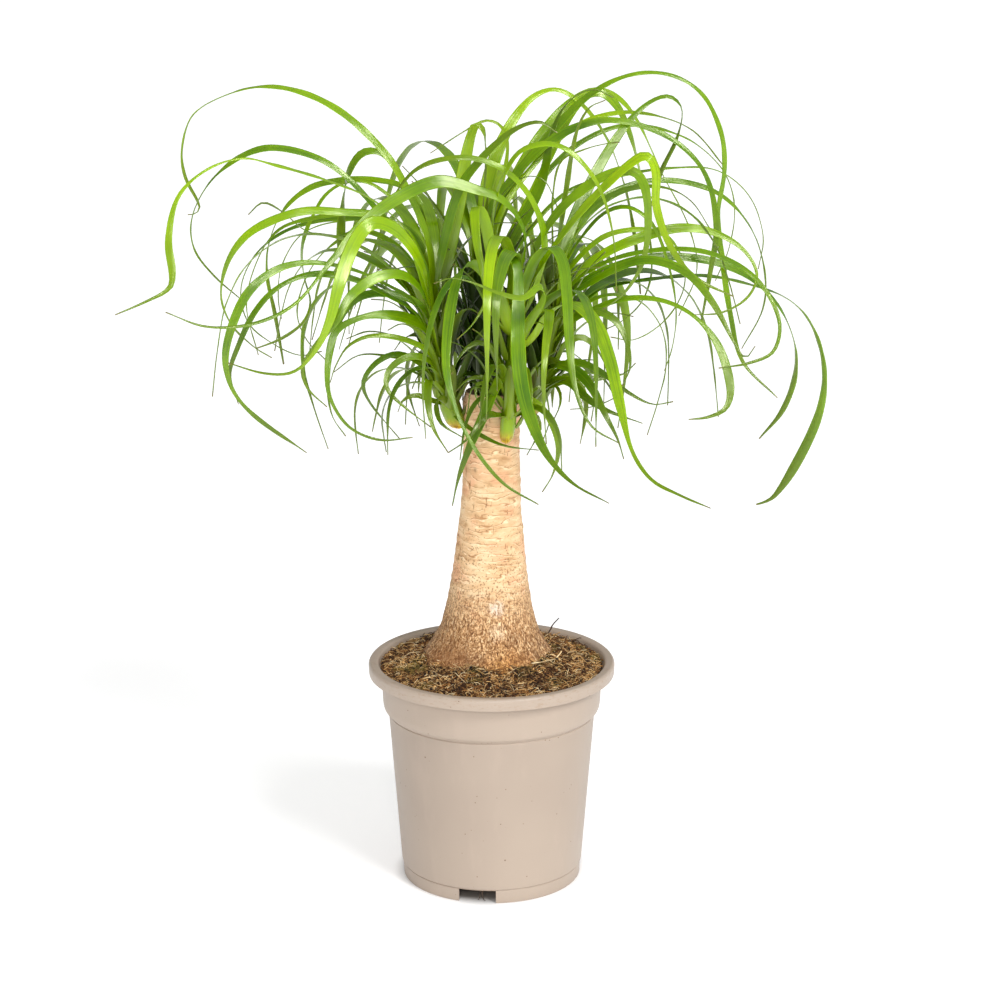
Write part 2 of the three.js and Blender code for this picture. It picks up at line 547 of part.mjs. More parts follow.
// How near two leaves may come, where they grow from different stems and where they share one.
const CLEAR_OTHER = 6.5;
const CLEAR_OWN = 4;
const OWN_FROM = 24; // samples from the base that may lie among the stem's other leaves
const TRUNK_CLEAR = 26;
const SHIFTS = [0, 10, -10, 20, -20, 30, -30, 40, -40, 52, -52, 64, -64];

// The cells of a grid that hold the edges and middles of the leaves already placed.
const CELL = 8;
const placed = new Map();
const cellOf = (p) => [p.x, p.y, p.z].map((v) => Math.floor(v / CELL));

function probesOf(leaf) {
  return leaf.stations.flatMap(({ point, side, half }, i) =>
    [-1, 0, 1].map((k) => ({ i, leaf, p: point.clone().addScaledVector(side, k * half) })),
  );
}

// The smallest distance, over what is asked for, from a leaf to those of its own and of other stems.
function clearance(leaf) {
  let worst = Infinity;
  for (const { p, i } of probesOf(leaf)) {
    if (p.z < 392 && i > 6) worst = Math.min(worst, Math.hypot(p.x, p.y) - TRUNK_CLEAR);
    const [cx, cy, cz] = cellOf(p);
    for (let k = 0; k < 27; k += 1) {
      const key = `${cx + (k % 3) - 1},${cy + (Math.floor(k / 3) % 3) - 1},${cz + Math.floor(k / 9) - 1}`;
      for (const other of placed.get(key) ?? []) {
        const own = other.leaf.head === leaf.head;
        if (own && (i < OWN_FROM || other.i < OWN_FROM)) continue;
        worst = Math.min(worst, p.distanceTo(other.p) - (own ? CLEAR_OWN : CLEAR_OTHER));
      }
    }
  }
  return worst;
}

function place(leaf) {
  for (const probe of probesOf(leaf)) {
    const key = cellOf(probe.p).join(",");
    if (!placed.has(key)) placed.set(key, []);
    placed.get(key).push(probe);
  }
}

// A stem is in the way of the other stems' leaves.
function placeStem(head) {
  for (let i = 0; i <= 24; i += 1) {
    const centre = stemPoint(head, i / 24);
    for (let j = 0; j < 8; j += 1) {
      const turn = (Math.PI * j) / 4;
      const side = new THREE.Vector3(Math.cos(turn), Math.sin(turn), 0);
      const leaf = { head };
      const probe = { i: 0, leaf, p: centre.clone().addScaledVector(side, 6) };
      const key = cellOf(probe.p).join(",");
      if (!placed.has(key)) placed.set(key, []);
      placed.get(key).push(probe);
    }
  }
}

// The leaf bent nearer or further, along the line of sight or its own way across, till it lies clear.
function combed(route, shiftOf) {
  let best = null;
  for (const shift of SHIFTS) {
    const points = route.points.map((p, i) => {
      const share = smooth((i / (route.points.length - 1)) * 2.2);
      return i === 0 ? p : shiftOf(p, shift * share);
    });
    const leaf = layLeaf({ ...route, points });
    const room = clearance(leaf);
    if (room >= 0) return leaf;
    if (!best || room > best.room) best = { leaf, room };
  }
  return best.leaf;
}

const alongSight = (p, shift) => p.clone().add(p.clone().sub(EYE).setLength(shift));

function shiftAcross(route) {
  const [a, b] = [route.points[0], route.points[4]];
  const across = new THREE.Vector3(a.y - b.y, b.x - a.x, 0).normalize();
  return (p, shift) => p.clone().addScaledVector(across, shift * 0.8);
}

function growLeaves() {
  const leaves = [];
  const add = (leaf) => {
    place(leaf);
    leaves.push(leaf);
  };
  Object.keys(STEMS).forEach(placeStem);
  for (const [head, rows] of Object.entries(SEEN)) {
    for (const row of rows) add(combed(seenRoute(head, row), alongSight));
  }
  const roll = dice(7);
  for (const [head, rows] of Object.entries(FILL)) {
    for (const row of rows) {
      for (let i = 0; i < row[0]; i += 1) {
        const route = fillRoute(head, row, (i + 0.5) / row[0], roll);
        add(combed(route, shiftAcross(route)));
      }
    }
  }
  return leaves;
}

// A blade: flat on top, with a shallow keel beneath. It has more joints where it bends more.
const KEEL_LEAST = 0.8;
const MM_A_JOINT = 110;
const TURN_A_JOINT = radians(31);

function jointsOf(stations) {
  const cost = [0];
  for (let i = 1; i < stations.length; i += 1) {
    const step = stations[i].point.distanceTo(stations[i - 1].point);
    const turn = stations[i].face.angleTo(stations[i - 1].face);
    cost.push(cost[i - 1] + step / MM_A_JOINT + turn / TURN_A_JOINT);
  }
  const count = Math.max(4, Math.round(cost.at(-1)));
  return Array.from({ length: count + 1 }, (_, k) => {
    const target = (cost.at(-1) * k) / count;
    return cost.reduce((best, c, i) => (Math.abs(c - target) < Math.abs(cost[best] - target) ? i : best), 0);
  });
}

function bladeSolid(leaf) {
  const rings = [];
  for (const i of jointsOf(leaf.stations)) {
    const { point, side, face, half } = leaf.stations[i];
    const keel = Math.max(KEEL_LEAST, half * 0.22);
    const ring = [
      point.clone().addScaledVector(side, -half),
      point.clone().addScaledVector(face, -keel),
      point.clone().addScaledVector(side, half),
    ];
    rings.push(leaf.hand > 0 ? ring : ring.toReversed());
  }
  return solidOf(loftOf(rings));
}

const materials = {
  pot: new THREE.MeshStandardMaterial({ color: 0xc9b5a6, roughness: 0.5, metalness: 0 }),
  soil: new THREE.MeshStandardMaterial({ color: 0x5a4128, roughness: 0.95, metalness: 0 }),
  bark: new THREE.MeshStandardMaterial({ color: 0xd9b487, roughness: 0.85, metalness: 0 }),
  leaf: new THREE.MeshStandardMaterial({ color: 0x6fa51a, roughness: 0.4, metalness: 0 }),
};

const palm = new THREE.Group();

function addNode(name, solid, material) {
  const mesh = new THREE.Mesh(geometryOf(solid), material);
  mesh.name = name;
  palm.add(mesh);
}

addNode("pot", makePot(), materials.pot);
addNode("potting_soil", makeSoil(), materials.soil);

const sockets = Object.keys(STEMS).map((head) => stemSolid(head, GAP));
addNode("trunk", wasm.Manifold.difference([trunkSolid(0), ...sockets]), materials.bark);

const leaves = growLeaves();
const trunkGrown = trunkSolid(GAP);
for (const head of Object.keys(STEMS)) {
  const blades = leaves.filter((leaf) => leaf.head === head).map(bladeSolid);
  const foliage = wasm.Manifold.union(blades).subtract(trunkGrown);
  addNode(`shoot_${head}`, stemSolid(head, 0).add(foliage), materials.leaf);
}

export default palm;
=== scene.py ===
import math

import bpy
import numpy as np
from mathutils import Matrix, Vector, noise


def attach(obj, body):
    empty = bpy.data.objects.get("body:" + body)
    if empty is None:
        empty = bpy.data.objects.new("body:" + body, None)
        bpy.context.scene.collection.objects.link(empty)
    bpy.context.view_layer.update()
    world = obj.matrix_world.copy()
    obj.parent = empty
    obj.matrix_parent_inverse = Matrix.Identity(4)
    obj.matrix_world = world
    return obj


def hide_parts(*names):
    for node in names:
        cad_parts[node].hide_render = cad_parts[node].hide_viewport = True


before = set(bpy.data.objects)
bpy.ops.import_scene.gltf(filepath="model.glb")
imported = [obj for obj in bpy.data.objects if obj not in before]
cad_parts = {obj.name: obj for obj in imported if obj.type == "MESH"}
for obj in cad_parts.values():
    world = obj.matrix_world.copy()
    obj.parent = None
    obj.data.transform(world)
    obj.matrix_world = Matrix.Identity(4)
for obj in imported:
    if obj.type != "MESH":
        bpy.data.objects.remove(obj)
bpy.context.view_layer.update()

# A ponytail palm in a plastic nursery pot. Shapes are worked out in millimetres and become metres
# when a mesh is made. +Z is up and -Y is the front.
MM = 0.001

# Where the camera stands, and the point that the leaf routes were laid out from.
EYE = np.array([6.55, -2017.0, 858.0])
ROUTE_EYE = np.array([6.6, -2017.0, 795.0])
CAMERA_PITCH = 15.37
CAMERA_LENS = 98.26


# Small maths.
def clamp01(t):
    return min(1.0, max(0.0, t))


def smooth(t):
    t = np.clip(t, 0, 1)
    return t * t * (3 - 2 * t)


def mix(a, b, t):
    return a * (1 - t) + b * t


def through(a, b, c, t):
    """The value at t of the quadratic that is a at 0, b at 1/2 and c at 1."""
    return a * (1 - t) * (1 - 2 * t) + 4 * b * t * (1 - t) + c * t * (2 * t - 1)


def unit(v):
    return v / np.linalg.norm(v)


def unit_rows(rows):
    return rows / np.linalg.norm(rows, axis=1)[:, None]


def compass(turn, rise=0.0):
    """The unit vector that points in the direction turn, from +X, and up by rise."""
    return np.array([math.cos(rise) * math.cos(turn), math.cos(rise) * math.sin(turn), math.sin(rise)])


def around(sides):
    """The directions of a ring's points, in radians from +X."""
    return 2 * np.pi * np.arange(sides) / sides


def ring_of(radius, z, sides):
    return [(radius * math.cos(a), radius * math.sin(a), z) for a in around(sides)]


def dice(seed):
    """A seeded source of numbers from 0 to 1."""
    state = seed

    def roll():
        nonlocal state
        state = (state * 1664525 + 1013904223) & 0xFFFFFFFF
        return state / 4294967296

    return roll


# Meshes.
class Shell:
    """Points and faces, or edges, in the making, with numbers or vectors kept at each point."""

    def __init__(self):
        self.points, self.faces, self.marks = [], [], {}

    def add(self, points, faces, **marks):
        first = len(self.points)
        self.points += [tuple(p) for p in points]
        self.faces += [tuple(first + i for i in face) for face in faces]
        for key, value in marks.items():
            values = [value] * len(points) if np.isscalar(value) else list(value)
            self.marks.setdefault(key, []).extend(values)

    def mesh(self, name, *materials):
        mesh = bpy.data.meshes.new(name)
        edges = [face for face in self.faces if len(face) == 2]
        mesh.from_pydata([tuple(c * MM for c in p) for p in self.points], edges, [] if edges else self.faces)
        for key, values in self.marks.items():
            kind, slot = ("FLOAT", "value") if np.ndim(values) == 1 else ("FLOAT_VECTOR", "vector")
            mesh.attributes.new(key, kind, "POINT").data.foreach_set(slot, np.ravel(values))
        for material in materials:
            mesh.materials.append(material)
        mesh.shade_smooth()
        return mesh


def loft_faces(count, sides):
    """The faces that join count rings of points into a closed skin, anticlockwise seen from outside."""
    faces = []
    for i in range(count - 1):
        for j in range(sides):
            a, b = i * sides + j, i * sides + (j + 1) % sides
            faces.append((a, b, b + sides, a + sides))
    last = (count - 1) * sides
    return faces + [tuple(reversed(range(sides))), tuple(last + j for j in range(sides))]


def new_object(name, mesh):
    made = bpy.data.objects.new(name, mesh)
    bpy.context.scene.collection.objects.link(made)
    return made


def set_aside(made):
    """The plain mesh that an object's modifiers make, once the object itself is gone."""
    bpy.context.view_layer.update()
    depsgraph = bpy.context.evaluated_depsgraph_get()
    mesh = bpy.data.meshes.new_from_object(
        made.evaluated_get(depsgraph), preserve_all_data_layers=True, depsgraph=depsgraph
    )
    bpy.data.objects.remove(made)
    return mesh


def outward(mesh):
    """Turns a closed mesh's faces outwards, where its volume says that they face in."""
    mesh.calc_loop_triangles()
    co = np.empty(len(mesh.vertices) * 3)
    mesh.vertices.foreach_get("co", co)
    corner = np.empty(len(mesh.loop_triangles) * 3, np.int32)
    mesh.loop_triangles.foreach_get("vertices", corner)
    a, b, c = np.moveaxis(co.reshape(-1, 3)[corner.reshape(-1, 3)], 1, 0)
    if np.einsum("ij,ij->i", a, np.cross(b, c)).sum() < 0:
        mesh.flip_normals()
    return mesh


# Node trees.
class Wire:
    """A node's output. Each call and each sign makes one more node in its tree and gives that node's output."""

    def __init__(self, socket):
        self.socket = socket

    def add(self, kind, wires=None, out=0, **settings):
        tree = self.socket.id_data
        node = tree.nodes.new(kind)
        for key, value in settings.items():
            setattr(node, key, value)
        for key, value in (wires or {}).items():
            if isinstance(value, Wire):
                tree.links.new(value.socket, node.inputs[key])
            else:
                node.inputs[key].default_value = value
        return Wire(node.outputs[out]) if node.outputs else None

    def maths(self, operation, other=0.0):
        return self.add("ShaderNodeMath", {0: self, 1: other}, operation=operation)

    def __add__(self, other):
        return self.maths("ADD", other)

    def __sub__(self, other):
        return self.maths("SUBTRACT", other)

    def __rsub__(self, other):
        return self.add("ShaderNodeMath", {0: other, 1: self}, operation="SUBTRACT")

    def __mul__(self, other):
        return self.maths("MULTIPLY", other)

    def vector(self, operation, other=(0.0, 0.0, 0.0)):
        key = "Scale" if operation == "SCALE" else 1
        out = "Value" if operation in ("DOT_PRODUCT", "LENGTH", "DISTANCE") else 0
        return self.add("ShaderNodeVectorMath", {0: self, key: other}, out, operation=operation)

    def part(self, axis):
        return self.add("ShaderNodeSeparateXYZ", {0: self}, axis)

    def point(self, x, y, z):
        """The vector x, y, z, whatever this wire is."""
        return self.add("ShaderNodeCombineXYZ", {0: x, 1: y, 2: z})

    def between(self, low, high, to_low=0.0, to_high=1.0):
        """The value's place from low to high, eased at both ends, as a number from to_low to to_high."""
        wires = {"Value": self, "From Min": low, "From Max": high, "To Min": to_low, "To Max": to_high}
        return self.add("ShaderNodeMapRange", wires, interpolation_type="SMOOTHSTEP")

    def noise(self, scale, detail=3.0, roughness=0.55, squash=1.0):
        """Noise at this point, drawn out upwards where squash is under 1 and flattened where it is over 1."""
        at = self if squash == 1.0 else self.vector("MULTIPLY", (1.0, 1.0, squash))
        wires = {"Vector": at, "Scale": scale, "Detail": detail, "Roughness": roughness}
        return self.add("ShaderNodeTexNoise", wires)

    def colours(self, *stops):
        """A colour ramp. Each stop is a place and a colour."""
        ramp = self.add("ShaderNodeValToRGB", {"Fac": self})
        elements = ramp.socket.node.color_ramp.elements
        while len(elements) < len(stops):
            elements.new(0.5)
        for element, (place, colour) in zip(elements, stops):
            element.position = place
            element.color = tint(colour)
        return ramp

    def coated(self, *coats):
        """This colour under others. Each coat is its share, its colour and, where it isn't plain, its way."""
        colour = self
        for share, over, *way in coats:
            wires = {0: share, 6: colour, 7: over if isinstance(over, Wire) else tint(over)}
            colour = self.add("ShaderNodeMix", wires, 2, data_type="RGBA", blend_type=way[0] if way else "MIX")
        return colour

    def kept(self, name):
        """A number that the mesh keeps at each point, for a material."""
        return self.add("ShaderNodeAttribute", out="Fac", attribute_name=name)

    def bump(self, strength, distance, over=None):
        """The slopes that this height gives a skin, laid over other slopes if there are any."""
        wires = {"Height": self, "Strength": strength, "Distance": distance}
        return self.add("ShaderNodeBump", {**wires, "Normal": over} if over else wires)

    def field(self, name, kind="FLOAT"):
        """A number or vector that the mesh keeps at each point, for a tree of geometry nodes."""
        return self.add("GeometryNodeInputNamedAttribute", {"Name": name}, data_type=kind)

    def keeping(self, name, value, kind="FLOAT", domain="POINT"):
        """This geometry, with a number or vector kept at each point."""
        wires = {"Geometry": self, "Name": name, "Value": value}
        return self.add("GeometryNodeStoreNamedAttribute", wires, data_type=kind, domain=domain)

    def random(self, seed, low, high, kind="FLOAT"):
        """A number, or a vector where the kind says so, drawn anew for each point."""
        first = 2 if kind == "FLOAT" else 0
        wires = {first: low, first + 1: high, "Seed": seed}
        return self.add("FunctionNodeRandomValue", wires, first // 2, data_type=kind)


def tint(colour):
    """A screen colour, 0 to 255, as the linear light that materials work in."""
    return (*((c / 255) ** 2.2 for c in colour), 1)


def new_material(name):
    """A material, and the point on the object that its patterns read, in metres."""
    material = bpy.data.materials.new(name)
    material.use_nodes = True
    material.node_tree.nodes.clear()
    return material, Wire(material.node_tree.nodes.new("ShaderNodeTexCoord").outputs["Object"])


def finish_material(material, colour, roughness, normal, **others):
    wires = {"Base Color": colour, "Roughness": roughness, "Normal": normal}
    wires.update({key.replace("_", " "): value for key, value in others.items()})
    normal.add("ShaderNodeOutputMaterial", {"Surface": normal.add("ShaderNodeBsdfPrincipled", wires)})
    return material


def new_growth(name, **sizes):
    """A tree of geometry nodes with a named input for each size, and all its inputs by name."""
    tree = bpy.data.node_groups.new(name, "GeometryNodeTree")
    for way in ("INPUT", "OUTPUT"):
        tree.interface.new_socket("Geometry", in_out=way, socket_type="NodeSocketGeometry")
    for size, value in sizes.items():
        kind = "NodeSocketInt" if isinstance(value, int) else "NodeSocketFloat"
        socket = tree.interface.new_socket(size.replace("_", " "), in_out="INPUT", socket_type=kind)
        socket.default_value = value
    return tree, {socket.name: Wire(socket) for socket in tree.nodes.new("NodeGroupInput").outputs}


def finish_growth(tree, geometry, material):
    """Every tree ends the same way: real meshes, smooth, in their material."""
    geometry = geometry.add("GeometryNodeRealizeInstances", {"Geometry": geometry})
    geometry = geometry.add("GeometryNodeSetShadeSmooth", {"Geometry": geometry})
    geometry = geometry.add("GeometryNodeSetMaterial", {"Geometry": geometry, "Material": material})
    geometry.add("NodeGroupOutput", {0: geometry})
    return tree


def grown(source, tree, **sizes):
    """The plain mesh that a tree of geometry nodes makes of a source mesh."""
    holder = new_object(tree.name, source)
    modifier = holder.modifiers.new(tree.name, "NODES")
    modifier.node_group = tree
    for item in tree.interface.items_tree:
        size = item.name.replace(" ", "_")
        if item.item_type == "SOCKET" and item.in_out == "INPUT" and size in sizes:
            modifier[item.identifier] = sizes[size]
    return set_aside(holder)


# Materials.
def pot_material():
    material, at = new_material("taupe plastic")
    height = at.part("Z")
    cloud = at.noise(60.0, 4.0, squash=0.25)
    scuffs = at.noise(210.0, 4.0, 0.7, squash=3.0)
    colour = at.noise(9.0, 2.0).colours((0.3, (163, 147, 133)), (0.7, (171, 155, 140))).coated(
        # The collar and rim are painted lighter than the body below: painted light, for the plastic is one colour.
        (height.between(0.129, 0.142, 0.0, 0.4), (184, 167, 151)),
        (cloud.between(0.5, 0.75, 0.0, 0.2), (188, 168, 154)),
        (scuffs.between(0.64, 0.76, 0.0, 0.25), (152, 130, 108)),
        (height.between(0.158, 0.17) * scuffs.between(0.5, 0.72, 0.0, 0.4), (150, 118, 86)),
    )
    for scale, few, size in ((62.0, 0.5, 0.06), (170.0, 0.52, 0.1)):
        specks = at.add("ShaderNodeTexVoronoi", {"Vector": at, "Scale": scale, "Randomness": 1.0})
        here = at.noise(scale * 0.37, 2.0).between(few, few + 0.04)
        colour = colour.coated((specks.between(size * 0.4, size, 0.85, 0.0) * here, (100, 74, 48)))
    grain = at.noise(1500.0, 2.0).bump(0.12, 0.0002)
    waves = at.noise(30.0, 1.0, squash=0.3).bump(0.1, 0.001, grain)
    return finish_material(material, colour, cloud.between(0.2, 0.8, 0.34, 0.48), waves, IOR=1.46)


def soil_material():
    material, at = new_material("peat and coir")
    grain = at.noise(420.0, 5.0, 0.7)
    colour = (grain * 0.55 + at.kept("tone") * 0.5).colours(
        (0.28, (20, 12, 7)), (0.44, (40, 24, 10)), (0.54, (148, 98, 50)), (0.65, (240, 190, 124)),
        (0.84, (252, 220, 156)),
    )
    colour = colour.coated(
        # Broad patches darkened by noise: painted shade of the soil's lumps.
        (at.noise(75.0, 2.0).between(0.42, 0.56, 0.6, 0.0), (120, 98, 76), "MULTIPLY"),
        (at.noise(34.0, 3.0).between(0.56, 0.68, 0.0, 0.4), (118, 104, 46), "OVERLAY"),
    )
    return finish_material(material, colour, 0.95, grain.bump(0.6, 0.0006))


def straw_material():
    material, at = new_material("straw fibre")
    value = at.kept("tone") * 0.8 + at.noise(300.0) * 0.3
    moss = at.noise(31.0, 3.0).between(0.55, 0.66, 0.0, 0.42)
    colour = value.colours(
        (0.18, (44, 26, 14)), (0.4, (104, 66, 32)), (0.6, (178, 124, 68)), (0.8, (234, 188, 122)),
        (0.98, (255, 236, 192)),
    )
    colour = colour.coated(
        # Broad patches darkened by noise: painted shade of the soil's lumps.
        (at.noise(75.0, 2.0).between(0.42, 0.56, 0.55, 0.0), (120, 98, 76), "MULTIPLY"),
        (moss * value.between(0.7, 0.95, 1.0, 0.0), (140, 128, 56)),
    )
    return finish_material(material, colour, 0.85, at.noise(900.0).bump(0.4, 0.0003))


def root_material():
    material, at = new_material("dark root")
    colour = at.noise(260.0).colours((0.3, (40, 30, 24)), (0.7, (92, 74, 58)))
    return finish_material(material, colour, 0.75, at.noise(700.0).bump(0.5, 0.0003))


def spot(at, centre, inner, outer, most):
    """A round mark about a point of the trunk, given in millimetres, as a number that fades outwards."""
    return at.vector("DISTANCE", tuple(c * MM for c in centre)).between(inner * MM, outer * MM, most, 0.0)


# Each mark on the trunk: its centre, its size and its colour.
BARK_MARKS = [
    ((4, -31, 226), 9, (232, 222, 208)),
    ((5, -38, 209), 10, (246, 218, 180)),
    ((-36, -36, 186), 30, (146, 96, 54)),
    ((24, -44, 190), 12, (156, 104, 60)),
    ((-13, -19, 332), 3.2, (104, 68, 36)),
    ((-16, -20, 299), 3.4, (124, 82, 46)),
    ((-12, -21, 297), 2.4, (140, 96, 56)),
    ((16, -18, 303), 2.2, (128, 82, 50)),
    ((-20, -15, 288), 3.4, (158, 112, 66)),
]


def bark_material():
    material, at = new_material("corky bark")
    height = at.part("Z")

    # Above, smooth peach bark with upright ticks and thin wavy rings, each a dark line with a pale one
    # beside it, broken into short pieces.
    cloud = at.noise(60.0, 5.0, 0.62, squash=2.6)
    level = height * 200.0 + at.noise(25.0, 3.0, 0.55, squash=3.0) * 5.5
    broken = at.noise(60.0, 3.0, 0.6, squash=2.0).between(0.42, 0.56)
    lines, pale_lines = (
        (level + shift).maths("PINGPONG", 0.5).between(0.02, 0.1, 1.0, 0.0) * broken for shift in (0.0, 0.2)
    )
    ticks = at.noise(520.0, 2.0, 0.5, squash=0.16).between(0.6, 0.67) * at.noise(90.0).between(0.5, 0.58)
    upper = cloud.colours((0.3, (188, 144, 98)), (0.48, (223, 184, 139)), (0.68, (241, 210, 168))).coated(
        (at.noise(47.0, 2.0).between(0.5, 0.66, 0.0, 0.5), (234, 170, 130)),
        (pale_lines * 0.6, (252, 226, 186)),
        (lines * 0.66, (164, 110, 64)),
        (ticks * 0.7, (140, 92, 50)),
    )

    # Below, rough tan cork with upright fissures.
    streaks = at.noise(700.0, 4.0, 0.8, squash=0.3)
    fissures = at.add(
        "ShaderNodeTexVoronoi",
        {"Vector": at.vector("MULTIPLY", (1.0, 1.0, 0.3)), "Scale": 400.0},
        feature="DISTANCE_TO_EDGE",
    )
    foot = height.between(0.175, 0.222, 0.75, 0.12)
    open_ = fissures.between(0.02, 0.13, 0.75, 0.0) * foot
    lower = streaks.colours(
        (0.38, (58, 32, 14)), (0.44, (150, 102, 58)), (0.52, (218, 170, 118)), (0.64, (254, 224, 178))
    )
    lower = lower.coated(
        (open_, (104, 66, 34)),
        (at.noise(42.0, 3.0).between(0.45, 0.64, 0.0, 0.6) * foot, (212, 156, 96), "MULTIPLY"),
        (at.noise(190.0, 3.0, 0.6, squash=0.4).between(0.5, 0.6) * foot, (96, 56, 26)),
        (spot(at, (14, -52, 174), 6, 36, 0.6) * streaks.between(0.4, 0.6), (236, 166, 74)),
    )

    low = height.between(0.205, 0.25, 1.0, 0.0)
    wide = height.between(0.2, 0.33, 0.52, 0.65)
    specks = at.noise(640.0, 3.0).between(wide, wide + 0.06, 0.0, 0.7)
    colour = upper.coated((low, lower), (specks, (122, 80, 42)))
    for centre, size, shade in BARK_MARKS:
        mark = spot(at, centre, size * 0.2, size, 0.62) * streaks.between(0.42, 0.54)
        colour = colour.coated((mark, shade))
    # The trunk's cut top is painted dark brown: partly its own dry bark, partly painted shade under the leaves.
    colour = colour.coated((at.kept("dry_top_and_shade"), (62, 42, 26)))
    relief = cloud * 0.6 - lines * 0.5 + (streaks - open_ * 0.7) * low * 0.6
    return finish_material(material, colour, cloud.between(0.2, 0.8, 0.72, 0.9), relief.bump(0.55, 0.0011))


def leaf_material():
    material, at = new_material("strap leaf")
    across, tone, from_root, to_tip, husk = map(at.kept, ("across", "tone", "from_root", "to_tip", "husk"))
    veins = at.point(across * 6.5, from_root * 9.0, tone * 40.0).noise(1.0, 3.0, 0.62)
    under = at.kept("skin").between(-0.3, 0.1, 0.35, 0.0)
    # Leaves near the crown's centre are darkened: painted shade inside the crown.
    crown_shade_distance = at.vector("SUBTRACT", (0.0, 0.012, 0.43)).vector("MULTIPLY", (1.0, 1.1, 0.62)).vector("LENGTH")
    colour = (tone * 0.6 + at.noise(26.0, 3.0) * 0.42).colours(
        (0.2, (10, 34, 0)), (0.4, (64, 106, 0)), (0.6, (114, 151, 0)), (0.85, (158, 192, 0))
    )
    colour = colour.coated(
        (veins.between(0.3, 0.5, 0.4, 0.0), (46, 84, 0)),
        (veins.between(0.52, 0.7, 0.0, 0.3), (160, 198, 4)),
        (under, (128, 158, 40)),
        (across.maths("ABSOLUTE").between(0.86, 1.0, 0.0, 0.25), (168, 196, 40)),
        (from_root.between(0.004, 0.06, 0.8, 0.0), (158, 190, 16)),
        (to_tip.between(0.0, 0.13, 0.75, 0.0), (84, 102, 18)),
        (to_tip.between(0.0005, tone * 0.009, 0.8, 0.0), (112, 96, 58)),
        (crown_shade_distance.between(0.036, 0.072, 0.95, 0.0), (50, 78, 6), "MULTIPLY"),
        (husk, (226, 178, 40)),
        (husk * at.noise(420.0, 3.0, squash=0.35).between(0.47, 0.56), (126, 84, 36)),
    )
    return finish_material(
        material, colour, veins.between(0.3, 0.7, 0.24, 0.15) + under * 0.5, veins.bump(0.3, 0.0004),
        Subsurface_Weight=0.3, Subsurface_Radius=(0.6, 1.0, 0.02), Subsurface_Scale=0.0014,
        Specular_IOR_Level=0.7, Specular_Tint=(0.95, 1.0, 0.66, 1.0),
    )


pot_plastic = pot_material()
peat = soil_material()
straw = straw_material()
root_skin = root_material()
bark = bark_material()
leaf_skin = leaf_material()


# The pot: a turned shell with rounded corners, notched at the foot and drilled in the floor.
POT_SIDES = 144
FOOT_R = 69.4
FOOT_H = 10.8
NOTCH_COUNT = 3
NOTCH_SIZE = (14, 29, 18)
NOTCH_Z = FOOT_H - 9.4
NOTCH_TURN = -99.2
DRAIN_COUNT = 6
DRAIN_R = 6
DRAIN_SIDES = 32
DRAIN_ENDS = (6, 19)
DRAIN_CIRCLE_R = 46
POT_FLOOR_Z = 14.2
POT_UNDER_Z = 12.2
POT_HUB_R = 0.6
SHARP_FROM = 40
CORNER_STEPS = 4

# Radius, height and corner radius: first the inside, downwards, and then all of the pot, from the floor's
# underside up the outside and down the inside.
POT_INSIDE = [
    (83.4, 164.4, 1.5), (82.6, 139, 2), (78.9, 133, 2), (77.9, 129, 2), (FOOT_R - 1.4, POT_FLOOR_Z, 2.5),
]
POT_PROFILE = [
    (FOOT_R - 2.6, FOOT_H - 0.6, 0.5), (FOOT_R - 2.4, 0, 0.5), (FOOT_R + 0.2, 0, 0.7),
    (FOOT_R + 0.6, FOOT_H - 0.5, 0.5), (FOOT_R + 0.1, FOOT_H - 0.2, 0.2), (FOOT_R + 0.1, FOOT_H + 0.5, 0.2),
    (FOOT_R + 1.6, FOOT_H + 0.9, 0.6), (80.4, 133.7, 0.3), (79.8, 134.3, 0.2), (80.5, 134.9, 0.2),
    (83.9, 138.1, 0.9), (84.8, 142.5, 2), (85.7, 167.3, 0.4), (86.7, 168.9, 0.4), (93.4, 168.9, 0.3),
    (93.7, 166.2, 0.4), (95.4, 165.6, 0.5), (95.8, 173.2, 1.4), (94.3, 175.2, 0.9), (89.2, 175.1, 1.2),
    (87.9, 173.8, 1), (87, 171, 1), *POT_INSIDE,
]


def rounded(profile):
    """The profile with each corner turned into a short curve of the radius given with it."""
    made = [profile[0][:2]]
    for before, here, after in zip(profile, profile[1:], profile[2:]):
        corner = np.array(here[:2], float)
        ends = []
        for other in (before, after):
            way = np.array(other[:2], float) - corner
            ends.append(corner + unit(way) * min(here[2], 0.45 * np.linalg.norm(way)))
        for k in range(CORNER_STEPS + 1):
            t = k / CORNER_STEPS
            made.append(tuple(ends[0] * (1 - t) ** 2 + corner * 2 * t * (1 - t) + ends[1] * t * t))
    return made + [profile[-1][:2]]


def box_points(size, centre, turn):
    """The corners of a box pushed out along +X and then turned about the pot's axis."""
    points = []
    c, s = math.cos(turn), math.sin(turn)
    for i in range(8):
        x, y, z = (centre[k] + (0.5 if i >> k & 1 else -0.5) * size[k] for k in range(3))
        points.append((x * c - y * s, x * s + y * c, z))
    return points


BOX_FACES = [(0, 2, 3, 1), (4, 5, 7, 6), (0, 1, 5, 4), (2, 6, 7, 3), (0, 4, 6, 2), (1, 3, 7, 5)]


